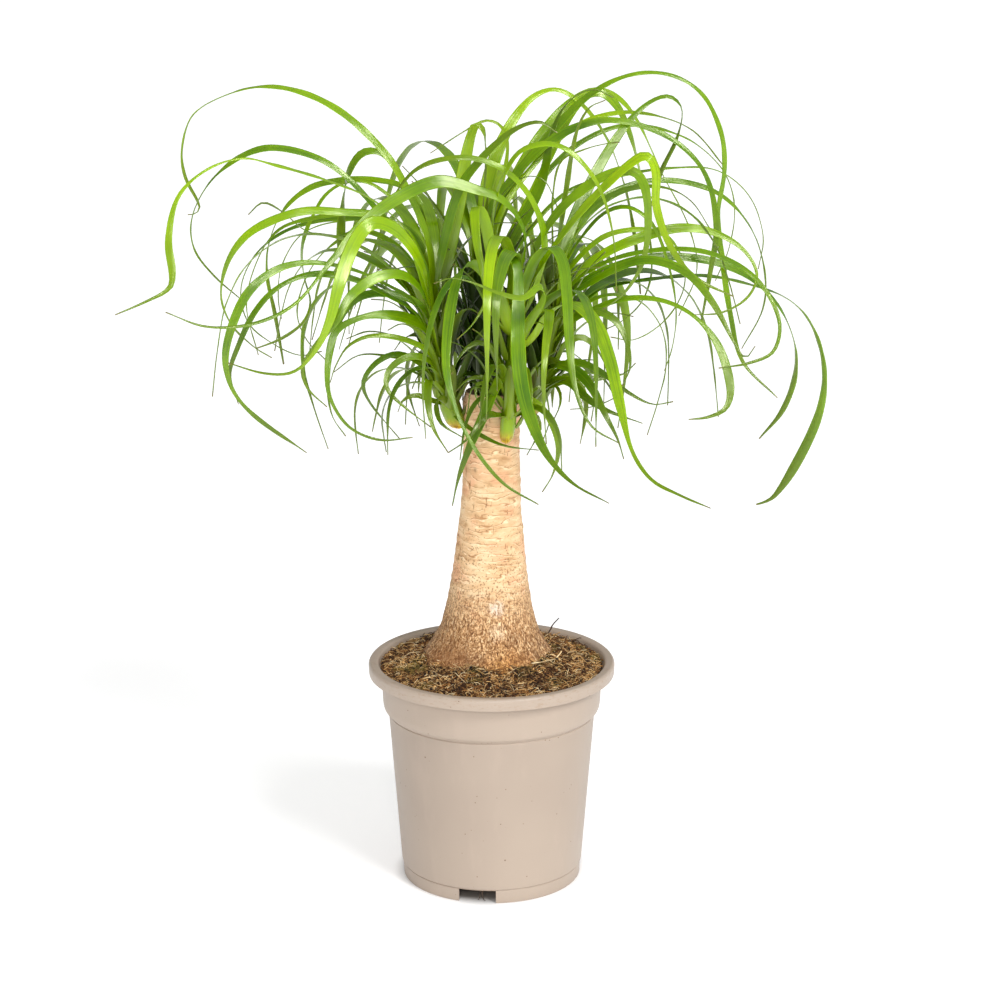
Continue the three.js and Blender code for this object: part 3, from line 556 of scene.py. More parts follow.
def make_pot():
    profile = [(POT_HUB_R, POT_UNDER_Z)] + rounded(POT_PROFILE) + [(POT_HUB_R, POT_FLOOR_Z)]
    shell, cutter = Shell(), Shell()
    shell.add([p for r, z in profile for p in ring_of(r, z, POT_SIDES)], loft_faces(len(profile), POT_SIDES))
    for i in range(NOTCH_COUNT):
        turn = math.radians(NOTCH_TURN + 360 / NOTCH_COUNT * i)
        cutter.add(box_points(NOTCH_SIZE, (FOOT_R, 0, NOTCH_Z), turn), BOX_FACES)
    for i in range(DRAIN_COUNT):
        x, y, _ = DRAIN_CIRCLE_R * compass(2 * math.pi * (i + 0.5) / DRAIN_COUNT)
        rim = [(x + px, y + py, z) for z in DRAIN_ENDS for px, py, _ in ring_of(DRAIN_R, 0, DRAIN_SIDES)]
        cutter.add(rim, loft_faces(2, DRAIN_SIDES))
    body = new_object("pot_blank", outward(shell.mesh("pot_body", pot_plastic)))
    knife = new_object("pot_knife", outward(cutter.mesh("pot_knife", pot_plastic)))
    cut = body.modifiers.new("cut", "BOOLEAN")
    cut.object, cut.operation, cut.solver = knife, "DIFFERENCE", "EXACT"
    mesh = set_aside(body)
    bpy.data.objects.remove(knife)
    mesh.shade_smooth()
    mesh.set_sharp_from_angle(angle=math.radians(SHARP_FROM))
    return new_object("pot_body", mesh)


# The trunk: radius and height up its skin, and each ring of its cut top, as a share of the radius and a depth.
TRUNK_PROFILE = [
    (30, 118), (46, 126), (54, 142), (56, 158), (54.2, 169), (50.6, 179), (44.2, 188), (39.6, 197),
    (36.4, 206), (34, 216), (31.8, 228), (29.6, 241), (27.9, 254), (26.4, 267), (25.4, 279), (23.9, 290),
    (23, 303), (22.3, 317), (21.8, 332), (21.4, 347), (21.6, 361), (22.2, 374), (21.6, 384), (19.4, 389.5),
]
TRUNK_TOP = [(0.96, -0.5), (0.9, 0.4), (0.75, 1.4), (0.55, 1.9), (0.3, 2.3), (0.08, 2.6)]
TRUNK_TOP_Z = 389.5
TRUNK_COLUMNS = 200
TRUNK_ROW = 1.0
BURIED_ROWS = [118, 124, 130, 138, 146, 154, 160]
LEAN_X = -2.3
LEAN_FROM_Z = 200
LEAN_TO_Z = 320


def lean_at(z):
    return LEAN_X * (1 - clamp01((z - LEAN_FROM_Z) / (LEAN_TO_Z - LEAN_FROM_Z)))


def bark_at(angle, z):
    """How far the bark stands out: the root flare's buttresses below, faint leaf-scar rings above."""
    flare = smooth((215 - z) / 60) * (1.5 * math.sin(3 * angle + 0.6) + 0.9 * math.sin(7 * angle + 2))
    flare += 3.4 * smooth((206 - z) / 22) * max(0, -math.cos(angle - 0.4)) ** 2
    rings = 0.16 * math.sin(z * 0.83 + math.sin(angle * 2) * 1.1) * smooth((z - 205) / 30)
    return flare + rings


def bark_relief(x, y, z):
    """How far a point of the trunk's skin stands out: nearly smooth above, rough cork below."""
    corky = 1 - float(smooth((z - 200) / 44))
    broad = noise.noise(Vector((x * 0.07, y * 0.07, z * 0.2)))
    fine = noise.noise(Vector((x * 0.5, y * 0.5, z * 1.1)))
    rough = noise.noise(Vector((x * 0.24 + 3, y * 0.24, z * 0.1)))
    return (1 - corky) * (0.45 * broad + 0.1 * fine) + corky * (0.7 * rough + 0.16 * fine)


def make_trunk():
    radii, heights = np.array(TRUNK_PROFILE).T
    last = TRUNK_TOP_Z - 0.1
    rows = BURIED_ROWS + list(np.arange(164, last, TRUNK_ROW)) + [last]
    points = []
    for z in rows:
        base = float(np.interp(z, heights, radii))
        for angle in around(TRUNK_COLUMNS):
            reach = base + bark_at(angle, z)
            x, y = reach * math.cos(angle), reach * math.sin(angle)
            reach += bark_relief(x, y, z) if z > BURIED_ROWS[-1] else 0
            points.append((lean_at(z) + reach * math.cos(angle), reach * math.sin(angle), z))
    # The cut top's points are marked for that dark brown, which is partly painted shade.
    dry_top_and_shade_marks = [0.0] * len(points)
    for share, sink in TRUNK_TOP:
        for x, y, _ in ring_of(radii[-1] * share, 0, TRUNK_COLUMNS):
            ragged = 0.7 * noise.noise(Vector((x * 0.4, y * 0.4, 3))) + 0.35 * math.sin(share * 38)
            points.append((x, y, TRUNK_TOP_Z - sink + ragged))
            dry_top_and_shade_marks.append(0.85)
    shell = Shell()
    shell.add(points, loft_faces(len(rows) + len(TRUNK_TOP), TRUNK_COLUMNS), dry_top_and_shade=dry_top_and_shade_marks)
    return new_object("trunk_bark", outward(shell.mesh("trunk_bark", bark)))


# The soil: a solid plug of peat with a finely lumped top, and crumbs and fibres strewn on it.
SOIL_EDGE_Z = 171
SOIL_MOUND = 12
SOIL_COLUMNS = 210
SOIL_TOP_R = 86
SOIL_CORE_R = 30
SOIL_STEP = 1.5
SOIL_GAP = 0.35
BED_CORE_R = 46
BED_STEP = 2.6
BED_COLUMNS = 96


def hump(x, y, at_x, at_y, wide, deep):
    """The height at x, y of a soft hump of height 1 that stands elsewhere."""
    return math.exp(-(((x - at_x) / wide) ** 2) - ((y - at_y) / deep) ** 2)


def soil_height(x, y):
    r = math.hypot(x, y)
    mound = SOIL_MOUND * (1 - float(smooth((r - 40) / 46)))
    lumps = 1.3 * math.sin(x * 0.19 + 1.7) * math.cos(y * 0.23 + 0.4) + 0.8 * math.sin(x * 0.43 + y * 0.37)
    heap = 4 * hump(x, y, -12, -58, 22, 12) - 4 * hump(x, y, 14, -54, 14, 10)
    return SOIL_EDGE_Z + mound + heap + lumps * (1 - 0.7 * float(smooth((r - 72) / 10)))


def clods(x, y):
    """Lumps of a few millimetres on the soil's top."""
    fine = 1.5 * noise.noise(Vector((x * 0.19, y * 0.19, 4)))
    return fine + 1.1 * noise.noise(Vector((x * 0.5, y * 0.5, 9)))


def make_soil():
    """The plug of soil, which lies a gap inside the pot's wall and above its floor."""
    rings = [(r - SOIL_GAP, z + SOIL_GAP * (z == POT_FLOOR_Z)) for r, z, _ in reversed(POT_INSIDE)]
    points = [p for r, z in rings for p in ring_of(r, z, SOIL_COLUMNS)]
    top_radii = [SOIL_TOP_R, SOIL_TOP_R - 1] + list(np.arange(SOIL_TOP_R - 2.5, SOIL_CORE_R, -SOIL_STEP))
    for r in top_radii:
        for x, y, _ in ring_of(r, 0, SOIL_COLUMNS):
            points.append((x, y, soil_height(x, y) + clods(x, y) * float(smooth((SOIL_TOP_R - r) / 3))))
    shell = Shell()
    shell.add(points, loft_faces(len(rings) + len(top_radii), SOIL_COLUMNS), tone=0.35)
    return outward(shell.mesh("soil_plug", peat))


def soil_bed():
    """The open part of the soil's top, which crumbs and fibres are strewn on."""
    shell = Shell()
    radii = list(np.arange(BED_CORE_R, SOIL_TOP_R, BED_STEP))
    points = [(x, y, soil_height(x, y)) for r in radii for x, y, _ in ring_of(r, 0, BED_COLUMNS)]
    shell.add(points, loft_faces(len(radii), BED_COLUMNS)[:-2])
    return shell.mesh("soil_bed", peat)


def finish_strewing(tree, strewn, instance, turn, size, tone, material):
    """Lays the instance on each strewn point, with its own turn, size and tone."""
    wires = {"Points": strewn, "Instance": instance, "Rotation": turn, "Scale": size}
    laid = strewn.add("GeometryNodeInstanceOnPoints", wires).keeping("tone", tone, domain="INSTANCE")
    return finish_growth(tree, laid, material)


def crumb_growth():
    tree, sizes = new_growth(
        "peat crumbs", Spacing=0.0021, Crowding=260000.0, Smallest=0.0005, Largest=0.0016, Seed=3
    )
    bed = sizes["Geometry"]
    strewn = bed.add(
        "GeometryNodeDistributePointsOnFaces",
        {"Mesh": bed, "Distance Min": sizes["Spacing"], "Density Max": sizes["Crowding"], "Seed": sizes["Seed"]},
        distribute_method="POISSON",
    )
    crumb = bed.add("GeometryNodeMeshIcoSphere", {"Radius": 1.0, "Subdivisions": 1})
    turn = bed.random(5, (-3.1, -3.1, -3.1), (3.1, 3.1, 3.1), "FLOAT_VECTOR")
    size = bed.random(6, sizes["Smallest"], sizes["Largest"])
    shape = bed.random(7, (0.6, 0.6, 0.5), (1.5, 1.3, 1.0), "FLOAT_VECTOR").vector("SCALE", size)
    return finish_strewing(tree, strewn, crumb, turn, shape, bed.random(8, 0.0, 1.0), peat)


def fibre_growth():
    tree, sizes = new_growth(
        "coir fibres", Count_per_m2=430000.0, Shortest=0.003, Longest=0.009, Thickness=0.036, Bend=0.55,
        Tilt=0.85, Lightest=1.0, Seed=11,
    )
    bed, tilt = sizes["Geometry"], sizes["Tilt"]
    wires = {"Mesh": bed, "Density": sizes["Count per m2"], "Seed": sizes["Seed"]}
    strewn = bed.add("GeometryNodeDistributePointsOnFaces", wires)
    bow = bed.point(0.0, sizes["Bend"], 0.3)
    wires = {"Resolution": 3, "Start": (-0.5, 0, 0), "Middle": bow, "End": (0.5, 0, 0)}
    line = bed.add("GeometryNodeCurveQuadraticBezier", wires)
    round_ = bed.add("GeometryNodeCurvePrimitiveCircle", {"Resolution": 3, "Radius": sizes["Thickness"]})
    fibre = bed.add("GeometryNodeCurveToMesh", {"Curve": line, "Profile Curve": round_, "Fill Caps": True})
    low = bed.point(tilt * -1.0, tilt * -1.0, -3.14)
    turn = bed.random(12, low, bed.point(tilt, tilt, 3.14), "FLOAT_VECTOR")
    size = bed.random(13, sizes["Shortest"], sizes["Longest"])
    return finish_strewing(tree, strewn, fibre, turn, size, bed.random(14, 0.0, sizes["Lightest"]), straw)


# Curves.
SPAN_STEPS = 10


def curve_through(points, count):
    """A smooth curve through the points, as evenly spaced samples, and its length."""
    points = np.array(points, float)
    n = len(points)
    knots = np.append(0, np.cumsum(np.sqrt(np.linalg.norm(np.diff(points, axis=0), axis=1))))
    a, b = np.maximum(0, np.arange(n) - 1), np.minimum(n - 1, np.arange(n) + 1)
    tangents = (points[b] - points[a]) / (knots[b] - knots[a])[:, None]
    dense = [points[0]]
    for i in range(n - 1):
        span = knots[i + 1] - knots[i]
        for k in range(1, SPAN_STEPS + 1):
            t = k / SPAN_STEPS
            p = points[i] * ((1 + 2 * t) * (1 - t) ** 2) + tangents[i] * (span * t * (1 - t) ** 2)
            dense.append(p + points[i + 1] * (t * t * (3 - 2 * t)) + tangents[i + 1] * (span * t * t * (t - 1)))
    dense = np.array(dense)
    walked = np.append(0, np.cumsum(np.linalg.norm(np.diff(dense, axis=0), axis=1)))
    targets = walked[-1] * np.arange(count + 1) / count
    return np.stack([np.interp(targets, walked, dense[:, k]) for k in range(3)], 1), walked[-1]


def seen_at(x, z, depth):
    """The point that shows at x, z from the routes' eye and lies at that depth."""
    return ROUTE_EYE + (np.array([x, 0.0, z]) - ROUTE_EYE) * ((depth - ROUTE_EYE[1]) / -ROUTE_EYE[1])


def seen_from_camera(points):
    """Points moved up or down so that they show from the camera where they showed from the routes' eye."""
    return [p + [0, 0, (EYE[2] - ROUTE_EYE[2]) * p[1] / ROUTE_EYE[1]] for p in points]


# Loose things: the dark root that stands up behind the trunk, rootlets at the notch and straws on the soil.
TWIG = [(34, 36, 170), (40, 34, 180), (46, 32, 188), (48, 31, 193), (53, 30, 199)]
ROOTLETS = [(-9.5, -64, 0.8), (-6, -66, -1.2), (6, -66.5, 1.5)]
STRAWS = [
    [(30.5, -41, 185.5), (39, -36, 185), (49, -29, 185)],
    [(50, -23, 184), (53, -21, 187), (54, -20, 188.5)],
    [(16, -63, 175.5), (21, -62, 176.5), (27, -60, 176.5)],
    [(-2, -74, 171), (3, -77, 172.5), (9, -78, 173)],
    [(37, 27, 182), (40, 25, 184), (44, 23, 188)],
    [(-66, -12, 172), (-60, -16, 173), (-55, -17, 174)],
    [(62, 18, 173), (66, 12, 175), (67, 4, 174)],
    [(-30, 62, 172), (-22, 66, 174), (-12, 66, 173)],
    [(24, 68, 172), (34, 62, 174), (40, 60, 173)],
]


def thread(route, steps, thick, thin, sides=6):
    """The points and faces of a closed round tube through a few points, which thins from end to end."""
    line = curve_through(route, steps)[0]
    rings, side = [], None
    for i, (point, radius) in enumerate(zip(line, np.linspace(thick, thin, steps + 1))):
        along = unit(line[min(i + 1, steps)] - line[max(i - 1, 0)])
        if side is None:
            side = np.array([1.0, 0, 0]) if abs(along[0]) < 0.8 else np.array([0, 1.0, 0])
        side = unit(side - along * np.dot(side, along))
        other = np.cross(along, side)
        rings += [point + radius * (math.cos(turn) * side + math.sin(turn) * other) for turn in around(sides)]
    return rings, loft_faces(steps + 1, sides)


def make_roots():
    shell = Shell()
    shell.add(*thread(TWIG, 12, 0.8, 0.45, 8))
    for x, y, sway in ROOTLETS:
        route = [(x, y, 11.5), (x + sway, y - 0.8, 7), (x + sway * 0.4, y - 0.2, 2.5), (x - sway, y + 0.6, 0.6)]
        shell.add(*thread(route, 8, 0.4, 0.25))
    return new_object("loose_roots", outward(shell.mesh("loose_roots", root_skin)))


def make_straws():
    shell = Shell()
    for i, route in enumerate(STRAWS):
        radius = 0.42 + 0.12 * (i % 2)
        shell.add(*thread(route, 8, radius, radius), tone=0.98 - 0.06 * (i % 4))
    return outward(shell.mesh("straws", straw))


# The leaves seen from the front. Each row: width, how far up the stem it grows (0 to 1), depth behind the
# trunk's plane at the middle and at the tip, the roll towards the viewer in degrees at the base, middle and
# tip, and then the route as x, z pairs. A last list, if there is one, gives the widths it shows, evenly spaced
# from root to tip.
SEEN = {
    "left": [
        [9, 0.95, 10, 50, 10, 20, 40, [-46, 500, -65, 548, -82, 574, -110, 600, -140, 615, -170, 619, -200, 611, -221,
         597, -229, 572, -227, 552, -218, 533, -218, 526, -226, 524], [7, 6.5, 6, 6, 5.8, 5.5, 5.2, 4.6, 2.9, 2, 1.7,
         2.8, 0.7]],
        [10, 0.85, -20, 30, 20, 45, 60, [-52, 490, -80, 522, -106, 551, -130, 567, -163, 574, -188, 566, -210, 547,
         -223, 522, -222, 498, -207, 477, -187, 459], [7, 6, 5, 4, 3.8, 4.8, 5.2, 2, 1.6, 1.5, 0.7]],
        [11, 0.9, -55, -112, 30, 25, 80, [-55, 500, -85, 533, -120, 549, -160, 561, -185, 566, -212, 557, -233, 537,
         -241, 505, -239, 480, -242, 468, -262, 457, -283, 448], [8, 7.5, 7, 6.5, 6, 5, 4.2, 3.6, 3.4, 3.6, 4, 1.5,
         1.7, 1.8, 2.3, 3.6, 4.8, 5.8, 2.4, 1.6, 0.6]],
        [7, 0.8, 40, 60, 30, 50, 50, [-44, 480, -48, 520, -62, 543, -85, 550, -110, 550, -135, 544, -155, 527, -166,
         503, -168, 478, -163, 450, -157, 410], [6, 6, 5.5, 4.6, 4, 4.6, 5, 2.4, 3.4, 3, 1.2]],
        [10, 0.75, -30, -10, 40, 55, 30, [-50, 470, -62, 505, -85, 523, -112, 526, -137, 527, -160, 521, -182, 509,
         -197, 489, -203, 463, -196, 441, -180, 424, -166, 415], [8, 7, 6, 5.4, 5.2, 5.6, 6, 4.6, 1.4, 2.4, 1]],
        [7, 0.8, 30, 10, 30, 50, 60, [-45, 480, -60, 520, -85, 545, -105, 549, -122, 540, -133, 523, -141, 502, -141,
         480, -136, 458, -141, 443, -158, 430, -178, 422], [6, 5, 4, 3, 2.4, 2.4, 3, 6.2, 3.8, 3, 0.8]],
        [8, 0.6, -60, -50, 20, 55, 40, [-56, 455, -80, 472, -105, 483, -135, 488, -160, 483, -181, 467, -194, 443,
         -201, 415, -196, 390, -179, 369, -141, 341], [6, 4.4, 3.6, 2.4, 3, 5, 6.4, 5.3, 2.3, 3.8, 0.6]],
        [6.5, 0.5, -45, -40, 20, 50, 40, [-54, 446, -78, 463, -105, 476, -135, 479, -160, 469, -178, 450, -191, 424,
         -198, 402, -192, 379], [6, 4, 2.6, 2.8, 4.2, 5.3, 3, 4.2, 4, 2.8, 0.6]],
        [11, 0.7, -85, -70, 20, 60, 50, [-50, 480, -68, 510, -88, 518, -102, 503, -113, 475, -122, 443, -134, 419,
         -150, 404, -172, 403, -199, 411], [8, 8, 8, 8, 8.5, 9.2, 9, 6, 2.2, 1.8, 0.7]],
        [9, 0.65, -70, -60, 20, 55, 50, [-50, 462, -65, 478, -85, 477, -105, 463, -117, 443, -133, 424, -143, 407,
         -139, 391, -125, 377], [6, 5, 4.6, 5.6, 6.4, 7.6, 6, 4.4, 2.6, 1.8, 0.7]],
        [11, 0.55, -55, -50, 30, 65, 40, [-48, 436, -65, 446, -88, 448, -108, 442, -119, 432, -124, 405, -122, 383,
         -108, 361, -85, 351, -60, 353], [8, 8.5, 8.9, 8, 3.6, 5.2, 4.4, 2.4, 2, 1.8, 0.7]],
        [7, 0.6, -40, -35, 30, 50, 40, [-50, 452, -75, 464, -98, 462, -113, 447, -121, 420, -124, 393, -121, 370,
         -111, 354]],
        [11, 1, 20, 25, 20, 50, 60, [-48, 500, -60, 540, -72, 560, -84, 571, -97, 569, -107, 552, -111, 528, -112,
         500, -108, 478], [7, 6, 5, 4, 2.6, 2, 6, 8.4, 8.8, 7, 2]],
        [9, 0.7, 10, 20, 40, 20, 50, [-46, 470, -52, 500, -68, 516, -92, 516, -115, 508, -138, 512, -155, 526, -170,
         533, -181, 524], [6, 6, 5, 5, 5, 5, 5, 1.4, 3.4, 2.8, 0.6]],
        [4.5, 0.7, 40, 50, 20, 40, 40, [-45, 460, -60, 505, -90, 520, -125, 520, -155, 511, -177, 493, -188, 468,
         -183, 442, -165, 426, -145, 417, -128, 420]],
        [5, 0.75, 15, 30, 30, 40, 40, [-44, 465, -62, 510, -95, 525, -130, 522, -158, 513, -175, 490, -184, 455, -176,
         417]],
        [4, 0.8, 70, 80, 30, 30, 30, [-40, 470, -55, 510, -85, 520, -120, 518, -143, 508, -157, 485, -160, 462, -158,
         445]],
        [5, 0.7, 60, 80, 30, 40, 30, [-42, 450, -65, 495, -95, 512, -118, 502, -136, 482, -146, 452, -140, 430, -124,
         412]],
        [5, 0.4, -30, -25, 30, 50, 30, [-46, 418, -65, 429, -90, 432, -108, 424, -118, 408, -122, 396]],
        [5, 0.35, -15, 0, 20, 50, 40, [-48, 405, -68, 418, -86, 412, -97, 396, -92, 380, -70, 352]],
        [6, 0.35, -30, -35, 20, 60, 40, [-46, 412, -62, 416, -77, 406, -79, 391, -65, 376, -46, 361]],
        [3.5, 0.4, 10, 15, 20, 30, 30, [-50, 410, -75, 416, -100, 417, -119, 404]],
        [7, 0.3, -34, -40, 10, 30, 20, [-41, 394, -47, 398, -48, 380, -44, 360, -33, 341]],
        [6, 0.2, -30, -36, 10, 40, 30, [-38, 384, -42, 380, -38, 364, -22, 353]],
        [5, 0.25, -12, -8, 20, 60, 40, [-45, 382, -57, 386, -67, 382, -71, 373]],
        [7, 0.35, -5, 0, 20, 60, 50, [-46, 405, -55, 402, -60, 391]],
        [7, 0.5, 10, 20, 20, 40, 40, [-44, 425, -55, 433, -66, 430, -73, 421]],
        [4, 0.15, -36, -40, 10, 30, 30, [-30, 373, -20, 363, -5, 353, 12, 346, 36, 343]],
        [12, 1, 5, 10, 50, 60, 60, [-35, 480, -24, 535, -17, 575, -11, 591, -5, 585, -4, 560, -6, 530]],
        [9, 0.95, -15, -15, 20, 50, 30, [-38, 490, -25, 540, -8, 565, 15, 586, 35, 593, 49, 585], [7, 7.5, 8, 8, 7.8,
         7.2, 6.4, 5.4, 4.4, 3, 0.8]],
    ],
    "front": [
        [12, 0.95, -85, -120, 30, 55, 40, [22, 478, 25, 510, 10, 534, -12, 543, -38, 549, -65, 539, -95, 518, -122,
         486, -148, 456, -180, 441, -215, 439, -245, 450], [4.5, 4.2, 3.2, 6.4, 9.2, 8.6, 6.2, 1.8, 2.6, 1.9, 0.7]],
        [13, 0.9, -125, -150, 0, 0, 0, [2, 470, -12, 487, -22, 483, -29, 462, -34, 425, -33, 398, -24, 367, -10, 340,
         10, 316, 36, 300], [9, 9.5, 9, 8.6, 8.2, 6.8, 5, 2.2, 2.8, 2.2, 0.7]],
        [12, 0.95, -125, -170, 0, 10, 20, [22, 460, 33, 490, 44, 500, 53, 490, 57, 460, 59, 425, 64, 390, 76, 362, 98,
         348], [8, 9, 9, 8.5, 8, 7.6, 7, 5.4, 3.2, 1.6, 0.7]],
        [14, 0.8, -128, -206, 0, 15, 20, [30, 430, 44, 450, 60, 457, 77, 444, 89, 415, 98, 377, 107, 343, 122, 320,
         145, 307, 168, 297], [9, 10, 10.5, 10.5, 9.5, 8.5, 7, 2.8, 2.6, 2.2, 0.7]],
        [13, 0.95, -110, -190, 40, 10, 10, [4, 462, 8, 482, 15, 492, 20, 480, 20, 430, 22, 400, 28, 373, 42, 340, 62,
         317, 90, 301], [7, 7, 6, 7, 9.5, 10.3, 10, 8, 4.4, 1.9, 0.7]],
        [10, 1, -85, -105, 0, 0, 10, [5, 470, -5, 520, -12, 530, -11, 505, -6, 478, -4, 460, -14, 441, -26, 429]],
        [7, 0.75, -135, -150, 0, 60, 40, [28, 440, 40, 462, 36, 470, 24, 461, 5, 465, -15, 473, -30, 476, -43, 472]],
        [9, 0.5, -48, -40, 0, 20, 20, [10, 402, 3, 392, -6, 370, -16, 347, -25, 322, -30, 299]],
        [6, 0.25, -38, -38, 10, 40, 30, [6, 371, -3, 370, -11, 361, -20, 350, -33, 341]],
        [6, 0.5, -40, -45, 10, 40, 30, [9, 410, 0, 424, -13, 426, -24, 416, -30, 402]],
        [5, 0.45, -30, -30, 10, 30, 30, [8, 402, -2, 414, -12, 421, -23, 414]],
        [5, 0.4, -36, -36, 10, 40, 30, [6, 394, -6, 400, -18, 398, -27, 389]],
        [6, 0.35, -38, -34, 20, 40, 30, [24, 384, 36, 379, 47, 362, 51, 343, 47, 324, 39, 310]],
        [4, 0.2, -34, -34, 20, 40, 30, [24, 372, 34, 370, 37, 360, 33, 350, 27, 339]],
        [6, 0.9, -60, -60, 10, 20, 20, [0, 450, -15, 475, -28, 475, -40, 458, -49, 425, -52, 390, -50, 352]],
        [12, 1, -60, -64, 20, 30, 60, [28, 470, 55, 512, 85, 546, 113, 568, 122, 557, 123, 530, 134, 500, 152, 477,
         182, 462], [9, 9, 8.8, 8.6, 8.4, 8, 7, 6, 4.4, 3, 0.7]],
        [12, 1, -40, -44, 20, 30, 50, [26, 480, 45, 520, 75, 548, 103, 557, 114, 545, 117, 515, 113, 487, 100, 465,
         84, 452], [9, 9.5, 9.5, 9.5, 9, 8.4, 8, 6.6, 4.4, 2.4, 0.7]],
        [6, 1, -52, -60, 20, 40, 40, [4, 480, 2, 530, 18, 568, 40, 577, 60, 570, 80, 545, 91, 508, 94, 466]],
        [8, 0.95, -60, -55, 20, 50, 30, [30, 460, 40, 500, 32, 532, 12, 556, -12, 566, -38, 565, -58, 556, -75, 535],
         [7, 7.5, 7.2, 6.2, 4.4, 3.8, 4.2, 3.8, 3.8, 2.8, 0.8]],
    ],
    "right": [
        [6, 0.35, -20, -30, 20, 50, 30, [46, 402, 58, 412, 74, 409, 90, 399, 104, 388, 122, 379, 138, 381]],
        [6, 0.3, 0, 10, 20, 50, 30, [46, 394, 62, 399, 80, 399, 93, 401, 101, 403, 109, 411]],
        [8, 0.35, -35, -45, 20, 50, 30, [48, 398, 60, 396, 72, 384, 88, 374, 115, 364]],
        [9, 0.45, -45, -50, 20, 40, 30, [50, 410, 64, 405, 76, 392, 87, 370, 96, 352, 101, 336]],
        [7, 0.4, -10, -12, 20, 50, 30, [38, 408, 46, 413, 56, 408, 62, 398]],
        [6, 0.5, 5, 10, 20, 40, 30, [50, 420, 66, 431, 78, 424, 88, 406, 94, 390]],
        [8, 0.65, -25, -30, 20, 50, 40, [55, 440, 75, 451, 92, 445, 102, 428, 105, 408, 99, 393]],
        [4, 0.35, 25, 5, 20, 30, 30, [50, 400, 75, 404, 95, 398, 98, 388, 86, 380, 72, 376, 60, 375]],
        [10, 0.85, 10, -20, 40, 60, 40, [58, 474, 85, 495, 112, 507, 140, 514, 165, 511, 187, 499, 199, 480, 193, 462,
         174, 450, 152, 448], [7, 6.5, 6.5, 7.2, 7.4, 6.6, 4.4, 2.4, 1.9, 1.6, 0.7]],
        [9, 0.75, -20, -60, 30, 50, 40, [56, 466, 85, 488, 120, 497, 155, 497, 185, 486, 205, 468, 217, 442, 213, 420,
         195, 411, 172, 407], [6, 5, 4, 3.6, 3.6, 3.6, 3.4, 3, 2.6, 2.2, 0.8]],
        [9, 0.7, 30, 60, 30, 50, 50, [56, 462, 85, 482, 120, 492, 160, 490, 190, 479, 213, 459, 228, 430, 230, 402,
         221, 374, 204, 352], [6, 5.5, 5.5, 5.5, 6, 5.5, 3.6, 3.2, 5.6, 4.6, 0.8]],
        [13, 0.65, 60, 105, 10, 10, 60, [55, 455, 85, 469, 125, 476, 160, 478, 195, 471, 225, 459, 243, 437, 252, 405,
         249, 372, 234, 335, 216, 306, 203, 300], [6, 5.5, 4.5, 4.3, 4.2, 4.2, 4, 4.2, 7.2, 7.6, 0.8]],
        [10, 0.55, -40, -60, 30, 60, 60, [58, 440, 80, 454, 105, 461, 132, 458, 155, 445, 172, 423, 181, 393, 178,
         376, 165, 369, 150, 367], [7, 6, 5, 4.4, 4, 3, 2.6, 5.4, 6.4, 3, 0.8]],
        [9, 0.7, -50, -80, 30, 60, 50, [52, 455, 78, 475, 105, 488, 125, 489, 148, 479, 168, 455, 183, 427, 192, 415,
         199, 424], [7, 6, 5, 5, 5.5, 6, 6, 5.4, 4.2, 1.6, 0.8]],
        [5, 0.8, 30, 20, 20, 30, 30, [50, 470, 80, 505, 110, 513, 132, 507, 144, 488, 144, 466, 130, 443, 108, 429,
         90, 431]],
        [4.5, 0.9, 0, -10, 20, 30, 30, [52, 480, 78, 520, 100, 530, 120, 517, 133, 485, 139, 452, 137, 425, 131,
         405]],
        [7, 0.95, 25, 30, 30, 50, 40, [50, 480, 68, 520, 95, 541, 125, 545, 148, 535, 164, 512]],
        [8, 0.9, 50, 70, 30, 50, 40, [52, 490, 75, 530, 105, 547, 140, 549, 172, 538, 195, 512, 205, 480, 204, 452,
         189, 422], [6, 6, 5, 4, 3.6, 4.4, 4, 3.4, 2.4, 1.2, 0.7]],
        [11, 1, 20, 30, 40, 50, 60, [55, 500, 70, 540, 92, 580, 112, 604, 130, 612, 141, 602, 137, 580, 126, 556, 119,
         530], [9, 9, 8.6, 8.2, 7.4, 6, 3, 3.4, 4, 3.6, 1]],
        [10, 1, 15, 0, 10, 20, 40, [50, 500, 56, 545, 63, 585, 72, 603, 84, 609]],
    ],
    "back": [
        [9, 0.95, 60, 40, 40, 40, 60, [-2, 500, 14, 545, 40, 580, 70, 611, 100, 627, 130, 628, 155, 614, 170, 585,
         173, 556, 169, 525, 173, 490, 180, 448, 190, 412, 217, 384], [9, 9, 9, 7.5, 3.2, 2.8, 4.4, 3.6, 5, 3.4,
         0.8]],
        [11, 0.9, 60, 60, 50, 40, 40, [-8, 490, -3, 545, 10, 583, 28, 609, 47, 617, 66, 607, 85, 582, 98, 550, 107,
         508, 112, 464], [10, 10.5, 10.5, 10, 7, 3, 4.4, 4.8, 4.4, 3.6, 1]],
        [9, 0.95, 75, 60, 40, 40, 40, [5, 520, 22, 560, 42, 590, 62, 609, 80, 615, 94, 603, 104, 580, 112, 548, 118,
         510, 120, 480, 113, 458, 98, 443, 84, 436]],
        [6, 1, 85, 90, 40, 40, 40, [10, 500, 40, 560, 62, 603, 82, 616, 104, 600, 128, 553, 147, 516, 154, 482, 141,
         447]],
        [7, 0.9, 45, 60, 40, 50, 40, [5, 520, 35, 565, 65, 591, 95, 600, 125, 597, 150, 586, 172, 561], [6, 5.5, 5,
         4.4, 4, 3.8, 3.8, 3.6, 3, 2, 0.8]],
        [10, 0.85, 45, 30, 40, 50, 50, [-8, 510, 15, 550, 45, 580, 80, 594, 112, 590, 140, 576, 160, 552, 168, 515,
         164, 480, 158, 442], [8, 8, 7.6, 7.2, 6.8, 4.4, 4, 3, 4.8, 4, 1]],
        [4, 0.8, 95, 110, 20, 30, 30, [20, 500, 55, 540, 95, 553, 135, 559, 168, 557, 192, 538, 203, 508, 200, 483]],
